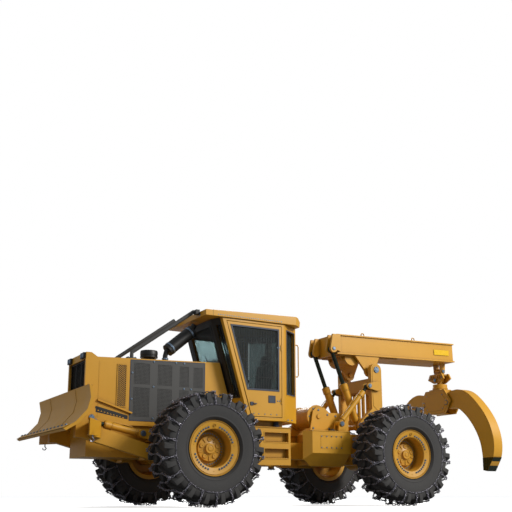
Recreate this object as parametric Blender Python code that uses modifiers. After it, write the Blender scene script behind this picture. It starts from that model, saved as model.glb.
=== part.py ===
"""A four-wheel grapple skidder: an articulated forestry tractor with a dozer blade, an arch, a boom and a grapple.

Metres, +X forward, +Y to the machine's left, +Z up.  Every size below is given from the steering pivot,
which lies halfway between the axles, at floor level.  The empty named skidder then moves the whole machine
so that the centre of its bounding box stands over the origin.
"""

from math import atan2, cos, hypot, pi, radians, sin

import bmesh
import bpy
from mathutils import Vector

# ---- Driving dimensions -------------------------------------------------------------------------------
GAP = 0.0003                 # between faces that touch
RUN = 0.0003                 # round a pin that turns in a bore
CLEAR = 0.012                # beside a piece that moves

WHEELBASE = 3.91
TRACK = 2.62
AXLE_X = WHEELBASE / 2

# Wheels: each distance along the axle is measured outwards from the middle of the tyre.
TYRE_RADIUS = 0.90           # over the tyre chains
TYRE_HALF = 0.37
SHOULDER_RADIUS = 0.84
SIDEWALL_RADIUS = 0.60
RIM_RADIUS = 0.43
RIM_HALF = 0.30
BEAD_RADIUS = 0.386
DISH_RADIUS = 0.30
DISC_INSET = 0.02
HUB_RADIUS = 0.20
HUB_OUT = 0.13
WHEEL_STEPS = 28
ROUND = 20                   # sides of a pin, a bore or a bar

# Front frame
FRAME_HALF = 0.42
FRAME_LOW, FRAME_TOP = 0.78, 1.34
FRAME_FRONT = 3.62
STEP_HALF = 0.63             # outer face of the step boxes below the cab
STEP_FRONT, STEP_REAR = 0.98, -0.03
STEP_WALL = 0.12
STEP_LOW, STEP_TOP = 0.70, 1.36
STEP_POCKET_X = (0.02, 0.50)
STEP_POCKETS_Z = (0.82, 1.10)
STEP_POCKET_HIGH = 0.16
HINGE_WALL = 0.62            # rear wall between the step boxes, which carries the steering ears
EAR_HALF = 0.20
UPPER_EAR, LOWER_EAR = (1.14, 1.28), (0.70, 0.82)
PIVOT_PIN = 0.055
TURN_RADIUS = 0.73           # nothing of the rear frame's side tanks lies nearer to the steering pin

# Axle housings
AXLE_TUBE, AXLE_BULGE, SPINDLE = 0.13, 0.24, 0.17
AXLE_SEAT = 1.15             # underside of both frames above their axles
AXLE_BAY = 0.29              # half length of the notch in the frame there

# Hood and engine bay
HOOD_HALF = 0.47
HOOD_FRONT, HOOD_REAR = 3.69, 1.31
HOOD_LOW, HOOD_TOP_FRONT, HOOD_TOP_REAR = 1.36, 2.36, 2.44
PANEL_FRONT, PANEL_REAR = 2.93, 1.60
PANEL_THICK = 0.04
HOOD_WALL = 0.05
GRILLE_LOW = 1.64
GRILLE_FRAME = 0.05
HUMP_REAR, HUMP_RISE = 3.50, 0.07
INTAKE_X, INTAKE_Y = 2.50, 0.16
EXHAUST_X, EXHAUST_Y = 2.22, 0.20
ENGINE = ((1.60, 2.75), (0.14 - HOOD_HALF, HOOD_HALF - 0.14), (HOOD_LOW, 2.15))

# Cab: front is narrow, sides are level with the doors, the rear corners are cut off
CAB_HALF = 0.76
CAB_LOW, CAB_WINDOW_LOW, CAB_WINDOW_TOP, CAB_TOP = 1.45, 1.93, 3.10, 3.19
CAB_NOSE_HALF = 0.50
CAB_WALL = 0.06
PILLAR_X, NOSE_X = 0.89, 0.98   # at the cab's floor
CAB_LEAN = 0.30              # how far the windscreen and the front pillars run forward for each metre up
DOOR_POST_X = 0.16
CAB_REAR_X, CAB_REAR_HALF = -0.25, 0.475
ROOF_FRONT, ROOF_REAR, ROOF_RISE_FRONT, ROOF_RISE_REAR = 1.74, -0.27, 0.10, 0.16
GLASS = 0.008
DOOR_THICK = 0.05

# Blade and its lift
BLADE_HALF = 1.40
BLADE_PLATE = 0.05
ARM_Y, ARM_THICK = 0.72, 0.12
ARM_PIVOT = (2.62, 0.84)
BLADE_PIN = (3.576, 1.313)
BLADE_BASE = (2.777, 1.152)
BLADE_CYL_Y = 0.60

# Rear frame
TANK_HALF, TANK_FRONT, TANK_REAR = 0.81, -0.375, -1.20
TANK_LOW, TANK_EDGE, TANK_TOP = 0.70, 0.93, 1.31
TONGUE_HALF, TONGUE_REAR = 0.20, -0.80
REAR_HALF, REAR_END = 0.42, -2.44
REAR_LOW, REAR_TOP = 0.74, 1.31
BUTT_PLATE = 0.06
WINCH_X, WINCH_Z, WINCH_FLANGE, WINCH_DRUM, WINCH_HALF = -0.82, 1.62, 0.22, 0.13, 0.30

# Arch, boom and grapple
ARCH_PIVOT = (-1.75, 1.46)
ARCH_PIN = (-1.84, 2.234)
ARCH_BASE = (-1.17, 1.48)
ARCH_CYL_Y = 0.52
POST_Y, POST_THICK = 0.50, 0.10
POST_FRONT, POST_REAR = -1.92, -2.17
SHAFT_RADIUS = 0.05
BOOM_PIVOT = (-2.04, 2.56)
BOOM_TILT = radians(1.4)
BOOM_PIN = (-1.172, 2.929)
BOOM_CYL_Y = 0.30
BOOM_HALF = 0.38
BOOM_FRONT, BOOM_REAR = -1.27, -4.24
BOOM_LOW, BOOM_TOP = 2.865, 3.235
FLANGE = 0.025
TIP_X, TIP_Z = -4.16, 2.745
SWAY_Z = 2.56
HEAD_TOP, HEAD_LOW = 2.34, 1.84
HEAD_HALF_X, HEAD_HALF_Y, HEAD_PLATE = 0.16, 0.46, 0.03
TONG_Y, TONG_Z = 0.34, 2.06
TONG_HALF = 0.11

BLADE_TIP_X = 4.27           # front end of the whole machine
TONG_PIN_OUT = 0.02          # how far the tong pins stand out of the grapple head
MACHINE_REAR = TIP_X - HEAD_HALF_X - TONG_PIN_OUT
ORIGIN_X = -(BLADE_TIP_X + MACHINE_REAR) / 2

# ---- Scene and materials ------------------------------------------------------------------------------
PLACES = {}                  # where each empty stands, from the steering pivot


def clear_scene():
    for obj in list(bpy.data.objects):
        bpy.data.objects.remove(obj, do_unlink=True)


def collection(name, hidden=False):
    made = bpy.data.collections.new(name)
    bpy.context.scene.collection.children.link(made)
    made.hide_render = hidden
    return made


def material(name, colour, roughness, metallic=0.0):
    made = bpy.data.materials.new(name)
    made.use_nodes = True
    shader = made.node_tree.nodes["Principled BSDF"]
    shader.inputs["Base Color"].default_value = (*colour, 1.0)
    shader.inputs["Roughness"].default_value = roughness
    shader.inputs["Metallic"].default_value = metallic
    return made


def empty(name, place, parent=None):
    """An empty at a place measured from the steering pivot; a joint's axis passes through it."""
    made = bpy.data.objects.new(name, None)
    PARTS.objects.link(made)
    made.parent = parent
    PLACES[name] = Vector(place)
    made.location = PLACES[name] - (PLACES[parent.name] if parent else Vector())
    return made


# ---- Shapes -------------------------------------------------------------------------------------------
def as_object(name, mesh):
    made = bpy.data.objects.new(name, mesh)
    PARTS.objects.link(made)
    return made


def from_bmesh(name, bm):
    mesh = bpy.data.meshes.new(name)
    bmesh.ops.recalc_face_normals(bm, faces=bm.faces)
    bm.to_mesh(mesh)
    bm.free()
    return as_object(name, mesh)


def box(name, x, y, z):
    """A box from its two limits along each axis."""
    bm = bmesh.new()
    bmesh.ops.create_cube(bm, size=1.0)
    low, high = zip(*(sorted(limits) for limits in (x, y, z)))
    for vert in bm.verts:
        vert.co = Vector(low[i] if vert.co[i] < 0 else high[i] for i in range(3))
    return from_bmesh(name, bm)


def rod(name, radius, start, end, steps=ROUND, end_radius=None):
    """A round bar, or a cone, between two points."""
    start, end = Vector(start), Vector(end)
    bm = bmesh.new()
    bmesh.ops.create_cone(bm, cap_ends=True, segments=steps, radius1=radius,
                          radius2=radius if end_radius is None else end_radius, depth=(end - start).length)
    turn = (end - start).to_track_quat("Z", "Y")
    bmesh.ops.rotate(bm, verts=bm.verts, cent=(0, 0, 0), matrix=turn.to_matrix())
    bmesh.ops.translate(bm, verts=bm.verts, vec=(start + end) / 2)
    return from_bmesh(name, bm)


def bore(name, radius, start, end):
    """A cutter for the hole that a pin of this radius turns in: its flats clear the pin's corners."""
    return rod(name, (radius + RUN) / cos(pi / ROUND), start, end)


def mesh_of(curve_object):
    """The curve as a welded mesh, so that it can be joined or cut."""
    bpy.context.view_layer.update()
    graph = bpy.context.evaluated_depsgraph_get()
    mesh = bpy.data.meshes.new_from_object(curve_object.evaluated_get(graph))
    bm = bmesh.new()
    bm.from_mesh(mesh)
    bmesh.ops.remove_doubles(bm, verts=bm.verts, dist=1e-5)
    bmesh.ops.recalc_face_normals(bm, faces=bm.faces)
    bm.to_mesh(mesh)
    bm.free()
    made = as_object(curve_object.name + "_mesh", mesh)
    made.matrix_world = curve_object.matrix_world
    name = curve_object.name
    bpy.data.objects.remove(curve_object, do_unlink=True)
    made.name = name
    return made


def prism(name, outline, axis, low, high):
    """A flat outline given a thickness: (x, z) points along Y, (y, z) along X or (x, y) along Z."""
    curve = bpy.data.curves.new(name, "CURVE")
    curve.dimensions = "2D"
    curve.fill_mode = "BOTH"
    curve.extrude = abs(high - low) / 2
    spline = curve.splines.new("POLY")
    spline.points.add(len(outline) - 1)
    for point, (u, v) in zip(spline.points, outline):
        point.co = (u, v, 0, 1)
    spline.use_cyclic_u = True
    made = bpy.data.objects.new(name, curve)
    PARTS.objects.link(made)
    made = mesh_of(made)
    middle = (low + high) / 2
    for vert in made.data.vertices:
        u, v, w = vert.co
        vert.co = {"X": (w + middle, u, v), "Y": (u, w + middle, v), "Z": (u, v, w + middle)}[axis]
    if axis == "Y":
        made.data.flip_normals()
    return made


def turned(name, profile, steps=WHEEL_STEPS):
    """A (radius, distance) profile turned round the local Y axis. It is a ring, or it starts and ends on the axis."""
    mesh = bpy.data.meshes.new(name)
    points = [(radius, distance, 0) for radius, distance in profile]
    edges = [(i, i + 1) for i in range(len(points) - 1)]
    if profile[0][0] > 0:
        edges.append((len(points) - 1, 0))
    mesh.from_pydata(points, edges, [])
    made = as_object(name, mesh)
    screw = made.modifiers.new("Turn", "SCREW")
    screw.axis = "Y"
    screw.steps = screw.render_steps = steps
    screw.use_merge_vertices = True
    screw.merge_threshold = 0.00001
    screw.use_normal_calculate = True
    screw.use_normal_flip = profile[0][0] == 0
    return made


def pipe(name, points, radius, resolution=2):
    curve = bpy.data.curves.new(name, "CURVE")
    curve.dimensions = "3D"
    curve.bevel_depth = radius
    curve.bevel_resolution = resolution
    curve.use_fill_caps = True
    spline = curve.splines.new("POLY")
    spline.points.add(len(points) - 1)
    for point, place in zip(spline.points, points):
        point.co = (*place, 1)
    made = bpy.data.objects.new(name, curve)
    PARTS.objects.link(made)
    return mesh_of(made)


def helper(obj):
    """Turns an object into a cutter or a joined shape, which isn't a piece by itself."""
    PARTS.objects.unlink(obj)
    CUTTERS.objects.link(obj)
    obj.hide_render = True
    obj.display_type = "WIRE"
    return obj


def combine(base, others, operation):
    for i, other in enumerate(others):
        change = base.modifiers.new(f"{operation.title()} {i}", "BOOLEAN")
        change.operation = operation
        change.solver = "EXACT"
        change.object = helper(other)
    return base


def join(base, *others):
    return combine(base, others, "UNION")


def cut(base, *others):
    return combine(base, others, "DIFFERENCE")


def finish(obj, paint, parent):
    """Gives a piece its material and hangs it on an empty without moving it."""
    obj.data.materials.append(paint)
    attach(obj, parent, -PLACES[parent.name])
    return obj


def attach(obj, parent, offset):
    """Hangs a shape, and whatever it is joined with or cut by, on an empty."""
    obj.parent = parent
    obj.location = offset
    for change in obj.modifiers:
        if change.type == "BOOLEAN":
            attach(change.object, parent, offset)


def arc_points(centre, radius, start, end, steps):
    """Points of an arc in degrees, from start to end."""
    return [(centre[0] + radius * cos(radians(start + (end - start) * i / steps)),
             centre[1] + radius * sin(radians(start + (end - start) * i / steps))) for i in range(steps + 1)]


def bar(start, end, start_radius, end_radius, steps=6):
    """Outline of a link: two round ends joined by straight sides."""
    tilt = atan2(end[1] - start[1], end[0] - start[0]) * 180 / pi
    return (arc_points(start, start_radius, tilt + 90, tilt + 270, steps)
            + arc_points(end, end_radius, tilt - 90, tilt + 90, steps))


# ---- Wheels and axles ---------------------------------------------------------------------------------
TYRE_PROFILE = [  # radius, distance from the middle
    (BEAD_RADIUS, -RIM_HALF + 0.02), (RIM_RADIUS + 0.006, -RIM_HALF + 0.02), (0.47, -RIM_HALF - 0.03),
    (SIDEWALL_RADIUS, -TYRE_HALF), (SHOULDER_RADIUS, -TYRE_HALF + 0.01), (TYRE_RADIUS, -TYRE_HALF + 0.06),
    (TYRE_RADIUS, TYRE_HALF - 0.06), (SHOULDER_RADIUS, TYRE_HALF - 0.01), (SIDEWALL_RADIUS, TYRE_HALF),
    (0.47, RIM_HALF + 0.03), (RIM_RADIUS + 0.006, RIM_HALF - 0.02), (BEAD_RADIUS, RIM_HALF - 0.02)]

RIM_PROFILE = [  # radius, distance from the middle, outwards on the left wheel
    (0.0, DISC_INSET - 0.03), (DISH_RADIUS, DISC_INSET - 0.03), (BEAD_RADIUS - 0.03, -RIM_HALF),
    (RIM_RADIUS, -RIM_HALF), (RIM_RADIUS, -RIM_HALF + 0.018),
    (BEAD_RADIUS - GAP, -RIM_HALF + 0.018), (BEAD_RADIUS - GAP, RIM_HALF - 0.018),
    (RIM_RADIUS, RIM_HALF - 0.018), (RIM_RADIUS, RIM_HALF), (DISH_RADIUS, RIM_HALF - 0.03),
    (DISH_RADIUS - 0.02, DISC_INSET), (HUB_RADIUS, DISC_INSET), (HUB_RADIUS - 0.01, HUB_OUT - 0.02),
    (0.09, HUB_OUT), (0.0, HUB_OUT + 0.03)]


def wheel(corner, x, side, parent):
    hub = empty(f"axis_wheel_{corner}", (x, side * TRACK / 2, TYRE_RADIUS), parent)
    pieces = ((f"tyre_{corner}", TYRE_PROFILE, RUBBER), (f"rim_{corner}", RIM_PROFILE, YELLOW))
    for name, profile, paint in pieces:
        piece = turned(name, [(radius, side * distance) for radius, distance in profile])
        piece.data.materials.append(paint)
        piece.parent = hub


def axle(name, x, parent):
    reach = TRACK / 2 + DISC_INSET - 0.03 - RUN
    housing = rod(name, AXLE_TUBE, (x, -TRACK / 2 + 0.45, TYRE_RADIUS), (x, TRACK / 2 - 0.45, TYRE_RADIUS))
    bulge = rod(name + "_bulge", AXLE_BULGE, (x, -0.17, TYRE_RADIUS), (x, 0.17, TYRE_RADIUS))
    ends = [rod(f"{name}_end_{side}", SPINDLE, (x, side * (TRACK / 2 - 0.46), TYRE_RADIUS),
                (x, side * reach, TYRE_RADIUS)) for side in (-1, 1)]
    pads = [box(f"{name}_pad_{side}", (x - 0.15, x + 0.15), (side * 0.30, side * 0.40),
                (TYRE_RADIUS - 0.05, AXLE_SEAT - GAP)) for side in (-1, 1)]
    finish(join(housing, bulge, *ends, *pads), YELLOW, parent)


# ---- Front frame --------------------------------------------------------------------------------------
def axle_bay(name, x):
    return box(name, (x - AXLE_BAY, x + AXLE_BAY), (-1, 1), (0, AXLE_SEAT))


def front_frame(parent):
    chassis = box("front_frame", (HINGE_WALL - 0.12, FRAME_FRONT), (-FRAME_HALF, FRAME_HALF), (FRAME_LOW, FRAME_TOP))
    cut(chassis, axle_bay("front_axle_bay", AXLE_X))
    steps = []
    for side in (-1, 1):
        outline = [(STEP_FRONT, side * STEP_HALF), (STEP_REAR, side * STEP_HALF),
                   (STEP_REAR, side * (STEP_HALF - STEP_WALL)), (HINGE_WALL - 0.12, side * (STEP_HALF - STEP_WALL)),
                   (HINGE_WALL - 0.12, side * (FRAME_HALF - 0.05)), (STEP_FRONT, side * (FRAME_HALF - 0.05))]
        step_box = prism(f"step_box_{side}", outline, "Z", STEP_LOW, STEP_TOP)
        for low in STEP_POCKETS_Z:
            cut(step_box, box(f"step_pocket_{side}_{low}", STEP_POCKET_X,
                              (side * (STEP_HALF - 0.09), side * (STEP_HALF + 0.1)), (low, low + STEP_POCKET_HIGH)))
        steps.append(step_box)
    ears = [prism(f"steering_ear_{low}", [(HINGE_WALL, -EAR_HALF - 0.12), (HINGE_WALL, EAR_HALF + 0.12)]
                  + arc_points((0, 0), EAR_HALF * 0.8, 90, 270, 10), "Z", low, high)
            for low, high in (UPPER_EAR, LOWER_EAR)]
    pin = rod("steering_pin", PIVOT_PIN, (0, 0, LOWER_EAR[0] - 0.04), (0, 0, UPPER_EAR[1] + 0.04))
    brackets = []
    for side in (-1, 1):
        x, z = ARM_PIVOT
        brackets += [box(f"arm_bracket_{side}", (x - 0.10, x + 0.10),
                         (side * (FRAME_HALF - 0.03), side * (ARM_Y - ARM_THICK / 2 - CLEAR)), (z - 0.10, z + 0.10)),
                     rod(f"arm_pin_{side}", 0.05, (x, side * FRAME_HALF, z),
                         (x, side * (ARM_Y + ARM_THICK / 2 + 0.02), z))]
        x, z = BLADE_BASE
        for inner, outer in ((0.06, 0.10), (-0.10, -0.06)):
            y = side * BLADE_CYL_Y
            brackets.append(prism(f"lift_ear_{side}_{inner}", bar((x, z), (x - 0.22, z - 0.02), 0.07, 0.10), "Y",
                                  y + inner, y + outer))
        brackets += [box(f"lift_bracket_{side}", (x - 0.32, x - 0.14),
                         (side * (FRAME_HALF - 0.03), side * (BLADE_CYL_Y + 0.10)), (z - 0.12, z + 0.08)),
                     rod(f"lift_pin_{side}", 0.03, (x, side * (BLADE_CYL_Y - 0.11), z),
                         (x, side * (BLADE_CYL_Y + 0.11), z))]
    cab_rails = [box(f"cab_rail_{side}", (0.10, 0.90), (side * 0.36, side * 0.56),
                     (STEP_TOP - 0.06, CAB_LOW - GAP)) for side in (-1, 1)]
    deck = box("hood_deck", (hood_rear(HOOD_LOW), FRAME_FRONT), (-HOOD_HALF, HOOD_HALF),
               (FRAME_TOP - 0.05, HOOD_LOW - GAP))
    bed = box("cab_bed", (HINGE_WALL - 0.12, 0.98), (-0.45, 0.45), (FRAME_TOP - 0.05, FRAME_TOP + 0.02))
    finish(join(chassis, *steps, *ears, pin, *brackets, deck, bed, *cab_rails), YELLOW, parent)


# ---- Hood and engine ----------------------------------------------------------------------------------
def hood_top(x):
    """Height of the hood, which rises towards the cab."""
    return HOOD_TOP_FRONT + (HOOD_TOP_REAR - HOOD_TOP_FRONT) * (HOOD_FRONT - x) / (HOOD_FRONT - HOOD_REAR)


def hood_rear(z):
    """The hood's rear edge leans with the windscreen behind it."""
    return HOOD_REAR - (HOOD_TOP_REAR - z) * CAB_LEAN


def hood(parent):
    side_view = [(HOOD_FRONT, HOOD_LOW), (HOOD_FRONT, hood_top(HOOD_FRONT) + HUMP_RISE),
                 (HOOD_FRONT - 0.09, hood_top(HOOD_FRONT) + HUMP_RISE), (HUMP_REAR, hood_top(HUMP_REAR)),
                 (HOOD_REAR, hood_top(HOOD_REAR)), (hood_rear(HOOD_LOW), HOOD_LOW)]
    shell = prism("hood", side_view, "Y", -HOOD_HALF, HOOD_HALF)
    inside = prism("hood_inside", [(HOOD_FRONT - 0.12, HOOD_LOW - 0.1), (HOOD_FRONT - 0.12, HOOD_TOP_FRONT - 0.05),
                                   (HOOD_REAR + 0.05, HOOD_TOP_REAR - 0.05),
                                   (hood_rear(HOOD_LOW - 0.1) + 0.05, HOOD_LOW - 0.1)],
                   "Y", -HOOD_HALF + HOOD_WALL, HOOD_HALF - HOOD_WALL)
    mouth = box("hood_mouth", (HOOD_FRONT - 0.2, HOOD_FRONT + 0.1),
                (-HOOD_HALF + GRILLE_FRAME, HOOD_HALF - GRILLE_FRAME), (GRILLE_LOW, HOOD_TOP_FRONT - 0.04))
    bays = prism("engine_bays", panel_outline(0.0), "Y", -1, 1)
    ports = [rod("intake_port", 0.10, (INTAKE_X, INTAKE_Y, 2.2), (INTAKE_X, INTAKE_Y, 2.6)),
             rod("exhaust_port", 0.05, (EXHAUST_X, EXHAUST_Y, 2.2), (EXHAUST_X, EXHAUST_Y, 2.6))]
    finish(cut(shell, inside, mouth, bays, *ports), YELLOW, parent)

    grille = box("radiator_grille", (HOOD_FRONT - 0.06, HOOD_FRONT - 0.03),
                 (-HOOD_HALF + GRILLE_FRAME + GAP, HOOD_HALF - GRILLE_FRAME - GAP),
                 (GRILLE_LOW + GAP, HOOD_TOP_FRONT - 0.04 - GAP))
    finish(grille, DARK, parent)


def panel_outline(margin):
    return [(PANEL_REAR + margin, HOOD_LOW + 0.02 + margin), (PANEL_FRONT - margin, HOOD_LOW + 0.02 + margin),
            (PANEL_FRONT - margin, hood_top(PANEL_FRONT) - 0.03 - margin),
            (PANEL_REAR + margin, hood_top(PANEL_REAR) - 0.03 - margin)]


def engine_panels(parent):
    for name, side in SIDES:
        panel = prism(f"engine_panel_{name}", panel_outline(GAP), "Y",
                      side * (HOOD_HALF - PANEL_THICK), side * (HOOD_HALF + 0.005))
        finish(panel, GREY, parent)


def engine(parent):
    finish(box("engine_block", *ENGINE), GREY, parent)
    foot = (INTAKE_X, INTAKE_Y)
    stack = rod("air_intake", 0.095, (*foot, ENGINE[2][1] + GAP), (*foot, 2.47))
    cap = rod("air_intake_cap", 0.15, (*foot, 2.46), (*foot, 2.60))
    finish(join(stack, cap), DARK, parent)

    foot = (EXHAUST_X, EXHAUST_Y)
    riser = pipe("exhaust", [(*foot, ENGINE[2][1] + GAP), (*foot, 2.52), (EXHAUST_X - 0.02, EXHAUST_Y, 2.60),
                             (EXHAUST_X - 0.10, EXHAUST_Y, 2.70)], 0.045)
    muffler = rod("muffler", 0.11, (EXHAUST_X - 0.04, EXHAUST_Y, 2.62), (EXHAUST_X - 0.50, EXHAUST_Y, 3.01))
    tail = rod("tailpipe", 0.05, (EXHAUST_X - 0.46, EXHAUST_Y, 2.97), (EXHAUST_X - 0.54, EXHAUST_Y, 3.12))
    finish(join(riser, muffler, tail), DARK, parent)


def limb_risers(parent):
    for name, side in SIDES:
        y = side * (HOOD_HALF - 0.07)
        foot = (2.90, y, hood_top(2.83) + GAP)
        riser = pipe(f"limb_riser_{name}", [foot, (2.90, y, 2.50), (2.86, y, 2.53),
                                            (ROOF_FRONT + 0.05, side * 0.42, CAB_TOP + 0.12)], 0.035)
        shoe = box(f"riser_shoe_{name}", (2.83, 2.99), (y - 0.05, y + 0.05), (hood_top(2.83) + GAP, hood_top(2.83) + 0.02))
        finish(join(riser, shoe), GREY, parent)


# ---- Cab ----------------------------------------------------------------------------------------------
def lean(x, z):
    """Where a leaning post that starts at x on the cab's floor stands at height z."""
    return x + (z - CAB_LOW) * CAB_LEAN


def cab_plan(grow, z):
    """Plan of the cab at one height, as (x, y), from the front left corner round to the front right."""
    half = [(lean(NOSE_X, z) + grow, CAB_NOSE_HALF + grow / 2), (lean(PILLAR_X, z) + grow / 2, CAB_HALF + grow),
            (DOOR_POST_X, CAB_HALF + grow), (CAB_REAR_X - grow, CAB_REAR_HALF + grow / 2)]
    return half + [(x, -y) for x, y in reversed(half)]


def loft(name, rings):
    """A solid between two outlines with as many corners, each a list of (x, y, z)."""
    bm = bmesh.new()
    low, high = [[bm.verts.new(point) for point in ring] for ring in rings]
    bm.faces.new(low)
    bm.faces.new(high)
    for i, vert in enumerate(low):
        j = (i + 1) % len(low)
        bm.faces.new((vert, low[j], high[j], high[i]))
    return from_bmesh(name, bm)


def cab_loft(name, grow, low, high):
    """The cab's outline between two heights: its front leans forward as it rises."""
    return loft(name, [[(x, y, z) for x, y in cab_plan(grow, z)] for z in (low, high)])


def door_outline(margin, low, high):
    """Side view of the door opening, which leans with the front pillar."""
    return [(DOOR_POST_X + 0.06 + margin, low + margin), (lean(PILLAR_X, low) - 0.07 - margin, low + margin),
            (lean(PILLAR_X, high) - 0.07 - margin, high - margin), (DOOR_POST_X + 0.06 + margin, high - margin)]


def cab(parent):
    body = cab_loft("cab", 0.0, CAB_LOW, CAB_TOP)
    cut(body, cab_loft("cab_inside", -CAB_WALL, CAB_LOW + 0.05, CAB_TOP + 0.1),
        prism("door_holes", door_outline(0.0, CAB_LOW + 0.06, CAB_TOP - 0.05), "Y", -2, 2),
        box("windscreen_hole", (0.9, 2.4), (-CAB_NOSE_HALF + 0.07, CAB_NOSE_HALF - 0.07),
            (CAB_WINDOW_LOW, CAB_WINDOW_TOP)),
        box("rear_window_hole", (-0.6, -0.05), (-CAB_REAR_HALF + 0.07, CAB_REAR_HALF - 0.07),
            (CAB_WINDOW_LOW, CAB_WINDOW_TOP)))
    for side in (-1, 1):
        cut(body, rear_corner_hole(side), front_corner_hole(side))
    finish(body, YELLOW, parent)

    eaves = 0.03
    roof = prism("cab_roof", [(ROOF_FRONT, CAB_TOP + GAP), (ROOF_FRONT, CAB_TOP + ROOF_RISE_FRONT),
                              (ROOF_REAR + 0.10, CAB_TOP + ROOF_RISE_REAR), (ROOF_REAR, CAB_TOP + ROOF_RISE_REAR - 0.05),
                              (ROOF_REAR + 0.03, CAB_TOP + GAP)], "Y", -CAB_HALF - eaves, CAB_HALF + eaves)
    corners = [prism(f"roof_corner_{side}", [(DOOR_POST_X - 0.05, side * (CAB_HALF + 0.2)),
                                             (ROOF_REAR - 0.2, side * (CAB_HALF + 0.2)),
                                             (ROOF_REAR - 0.2, side * (CAB_REAR_HALF - 0.05))], "Z", 2, 4)
               for side in (-1, 1)]
    finish(cut(roof, *corners), YELLOW, parent)


def rear_corner_hole(side):
    """Window in the slanted wall between the door post and the rear wall."""
    front = Vector((DOOR_POST_X, side * CAB_HALF))
    rear = Vector((CAB_REAR_X, side * CAB_REAR_HALF))
    along = (rear - front).normalized()
    out = Vector((along.y, -along.x)) * 0.3
    a, b = front + along * 0.07, rear - along * 0.06
    return prism(f"rear_corner_hole_{side}", [tuple(p) for p in (a + out, b + out, b - out, a - out)], "Z",
                 CAB_WINDOW_LOW, CAB_WINDOW_TOP)


def front_corner_hole(side):
    """Opening in the slanted wall between the windscreen and the door's front pillar; it leans like both."""
    rings = []
    for z in (CAB_WINDOW_LOW - 0.10, CAB_WINDOW_TOP):
        front = Vector((lean(NOSE_X, z), side * CAB_NOSE_HALF))
        rear = Vector((lean(PILLAR_X, z), side * CAB_HALF))
        along = (rear - front).normalized()
        out = Vector((along.y, -along.x)) * 0.12
        a, b = front + along * 0.06, rear - along * 0.06
        rings.append([(*p, z) for p in (a + out, b + out, b - out, a - out)])
    return loft(f"front_corner_hole_{side}", rings)


def cab_glass(parent):
    """Two folded sheets inside the walls: one across the front, one across the rear."""
    depth = CAB_WALL + GAP
    low, high = CAB_WINDOW_LOW - 0.2, CAB_TOP - GAP
    behind = [(-1, low - 0.1), (lean(PILLAR_X, low - 0.1) - 0.05, low - 0.1),
              (lean(PILLAR_X, high + 0.1) - 0.05, high + 0.1), (-1, high + 0.1)]
    ahead = [(DOOR_POST_X - 0.06, low - 0.1), (3, low - 0.1), (3, high + 0.1), (DOOR_POST_X - 0.06, high + 0.1)]
    for name, trim in (("front_glass", behind), ("rear_glass", ahead)):
        sheet = cab_loft(name, -depth, low, high)
        cut(sheet, cab_loft(name + "_inside", -depth - GLASS, low - 0.1, high + 0.1),
            prism(name + "_trim", trim, "Y", -2, 2))
        finish(sheet, GLASS_MATERIAL, parent)


def doors(parent):
    low, high = CAB_LOW + 0.06, CAB_TOP - 0.05
    for name, side in SIDES:
        hinge = empty(f"axis_door_{name}", (DOOR_POST_X + 0.06 + 0.012, side * (CAB_HALF + 0.0062), CAB_LOW), parent)
        inner, outer = side * (CAB_HALF - DOOR_THICK), side * (CAB_HALF + 0.003)
        door = prism(f"door_{name}", door_outline(0.008, low, high), "Y", inner, outer)
        cut(door, prism(f"door_hole_{name}", door_outline(0.07, CAB_WINDOW_LOW - 0.02, high), "Y", -2, 2))
        knuckles = [rod(f"door_hinge_{name}_{z}", 0.013, (PLACES[hinge.name].x, PLACES[hinge.name].y, z),
                        (PLACES[hinge.name].x, PLACES[hinge.name].y, z + 0.10)) for z in (1.75, 2.70)]
        finish(join(door, *knuckles), YELLOW, hinge)
        pane = prism(f"door_window_{name}", door_outline(0.07 + GAP, CAB_WINDOW_LOW - 0.02, high), "Y",
                     side * (CAB_HALF - 0.030), side * (CAB_HALF - 0.030 + GLASS))
        finish(pane, GLASS_MATERIAL, hinge)


def seat(parent):
    floor = CAB_LOW + 0.05 + GAP
    x = 0.42
    pedestal = box("seat", (x - 0.16, x + 0.16), (-0.16, 0.16), (floor, floor + 0.32))
    cushion = box("seat_cushion", (x - 0.26, x + 0.28), (-0.25, 0.25), (floor + 0.31, floor + 0.46))
    back = prism("seat_back", [(x - 0.28, floor + 0.40), (x - 0.14, floor + 0.40), (x - 0.24, floor + 1.06),
                               (x - 0.36, floor + 1.06)], "Y", -0.24, 0.24)
    rest = prism("seat_headrest", [(x - 0.36, floor + 1.04), (x - 0.25, floor + 1.04), (x - 0.28, floor + 1.24),
                                   (x - 0.37, floor + 1.24)], "Y", -0.14, 0.14)
    arms = [box(f"armrest_{side}", (x - 0.22, x + 0.24), (side * 0.24, side * 0.34), (floor + 0.50, floor + 0.60))
            for side in (-1, 1)]
    posts = [box(f"armrest_post_{side}", (x - 0.22, x - 0.14), (side * 0.20, side * 0.32), (floor + 0.40, floor + 0.55))
             for side in (-1, 1)]
    finish(join(pedestal, cushion, back, rest, *posts, *arms), DARK, parent)


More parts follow.
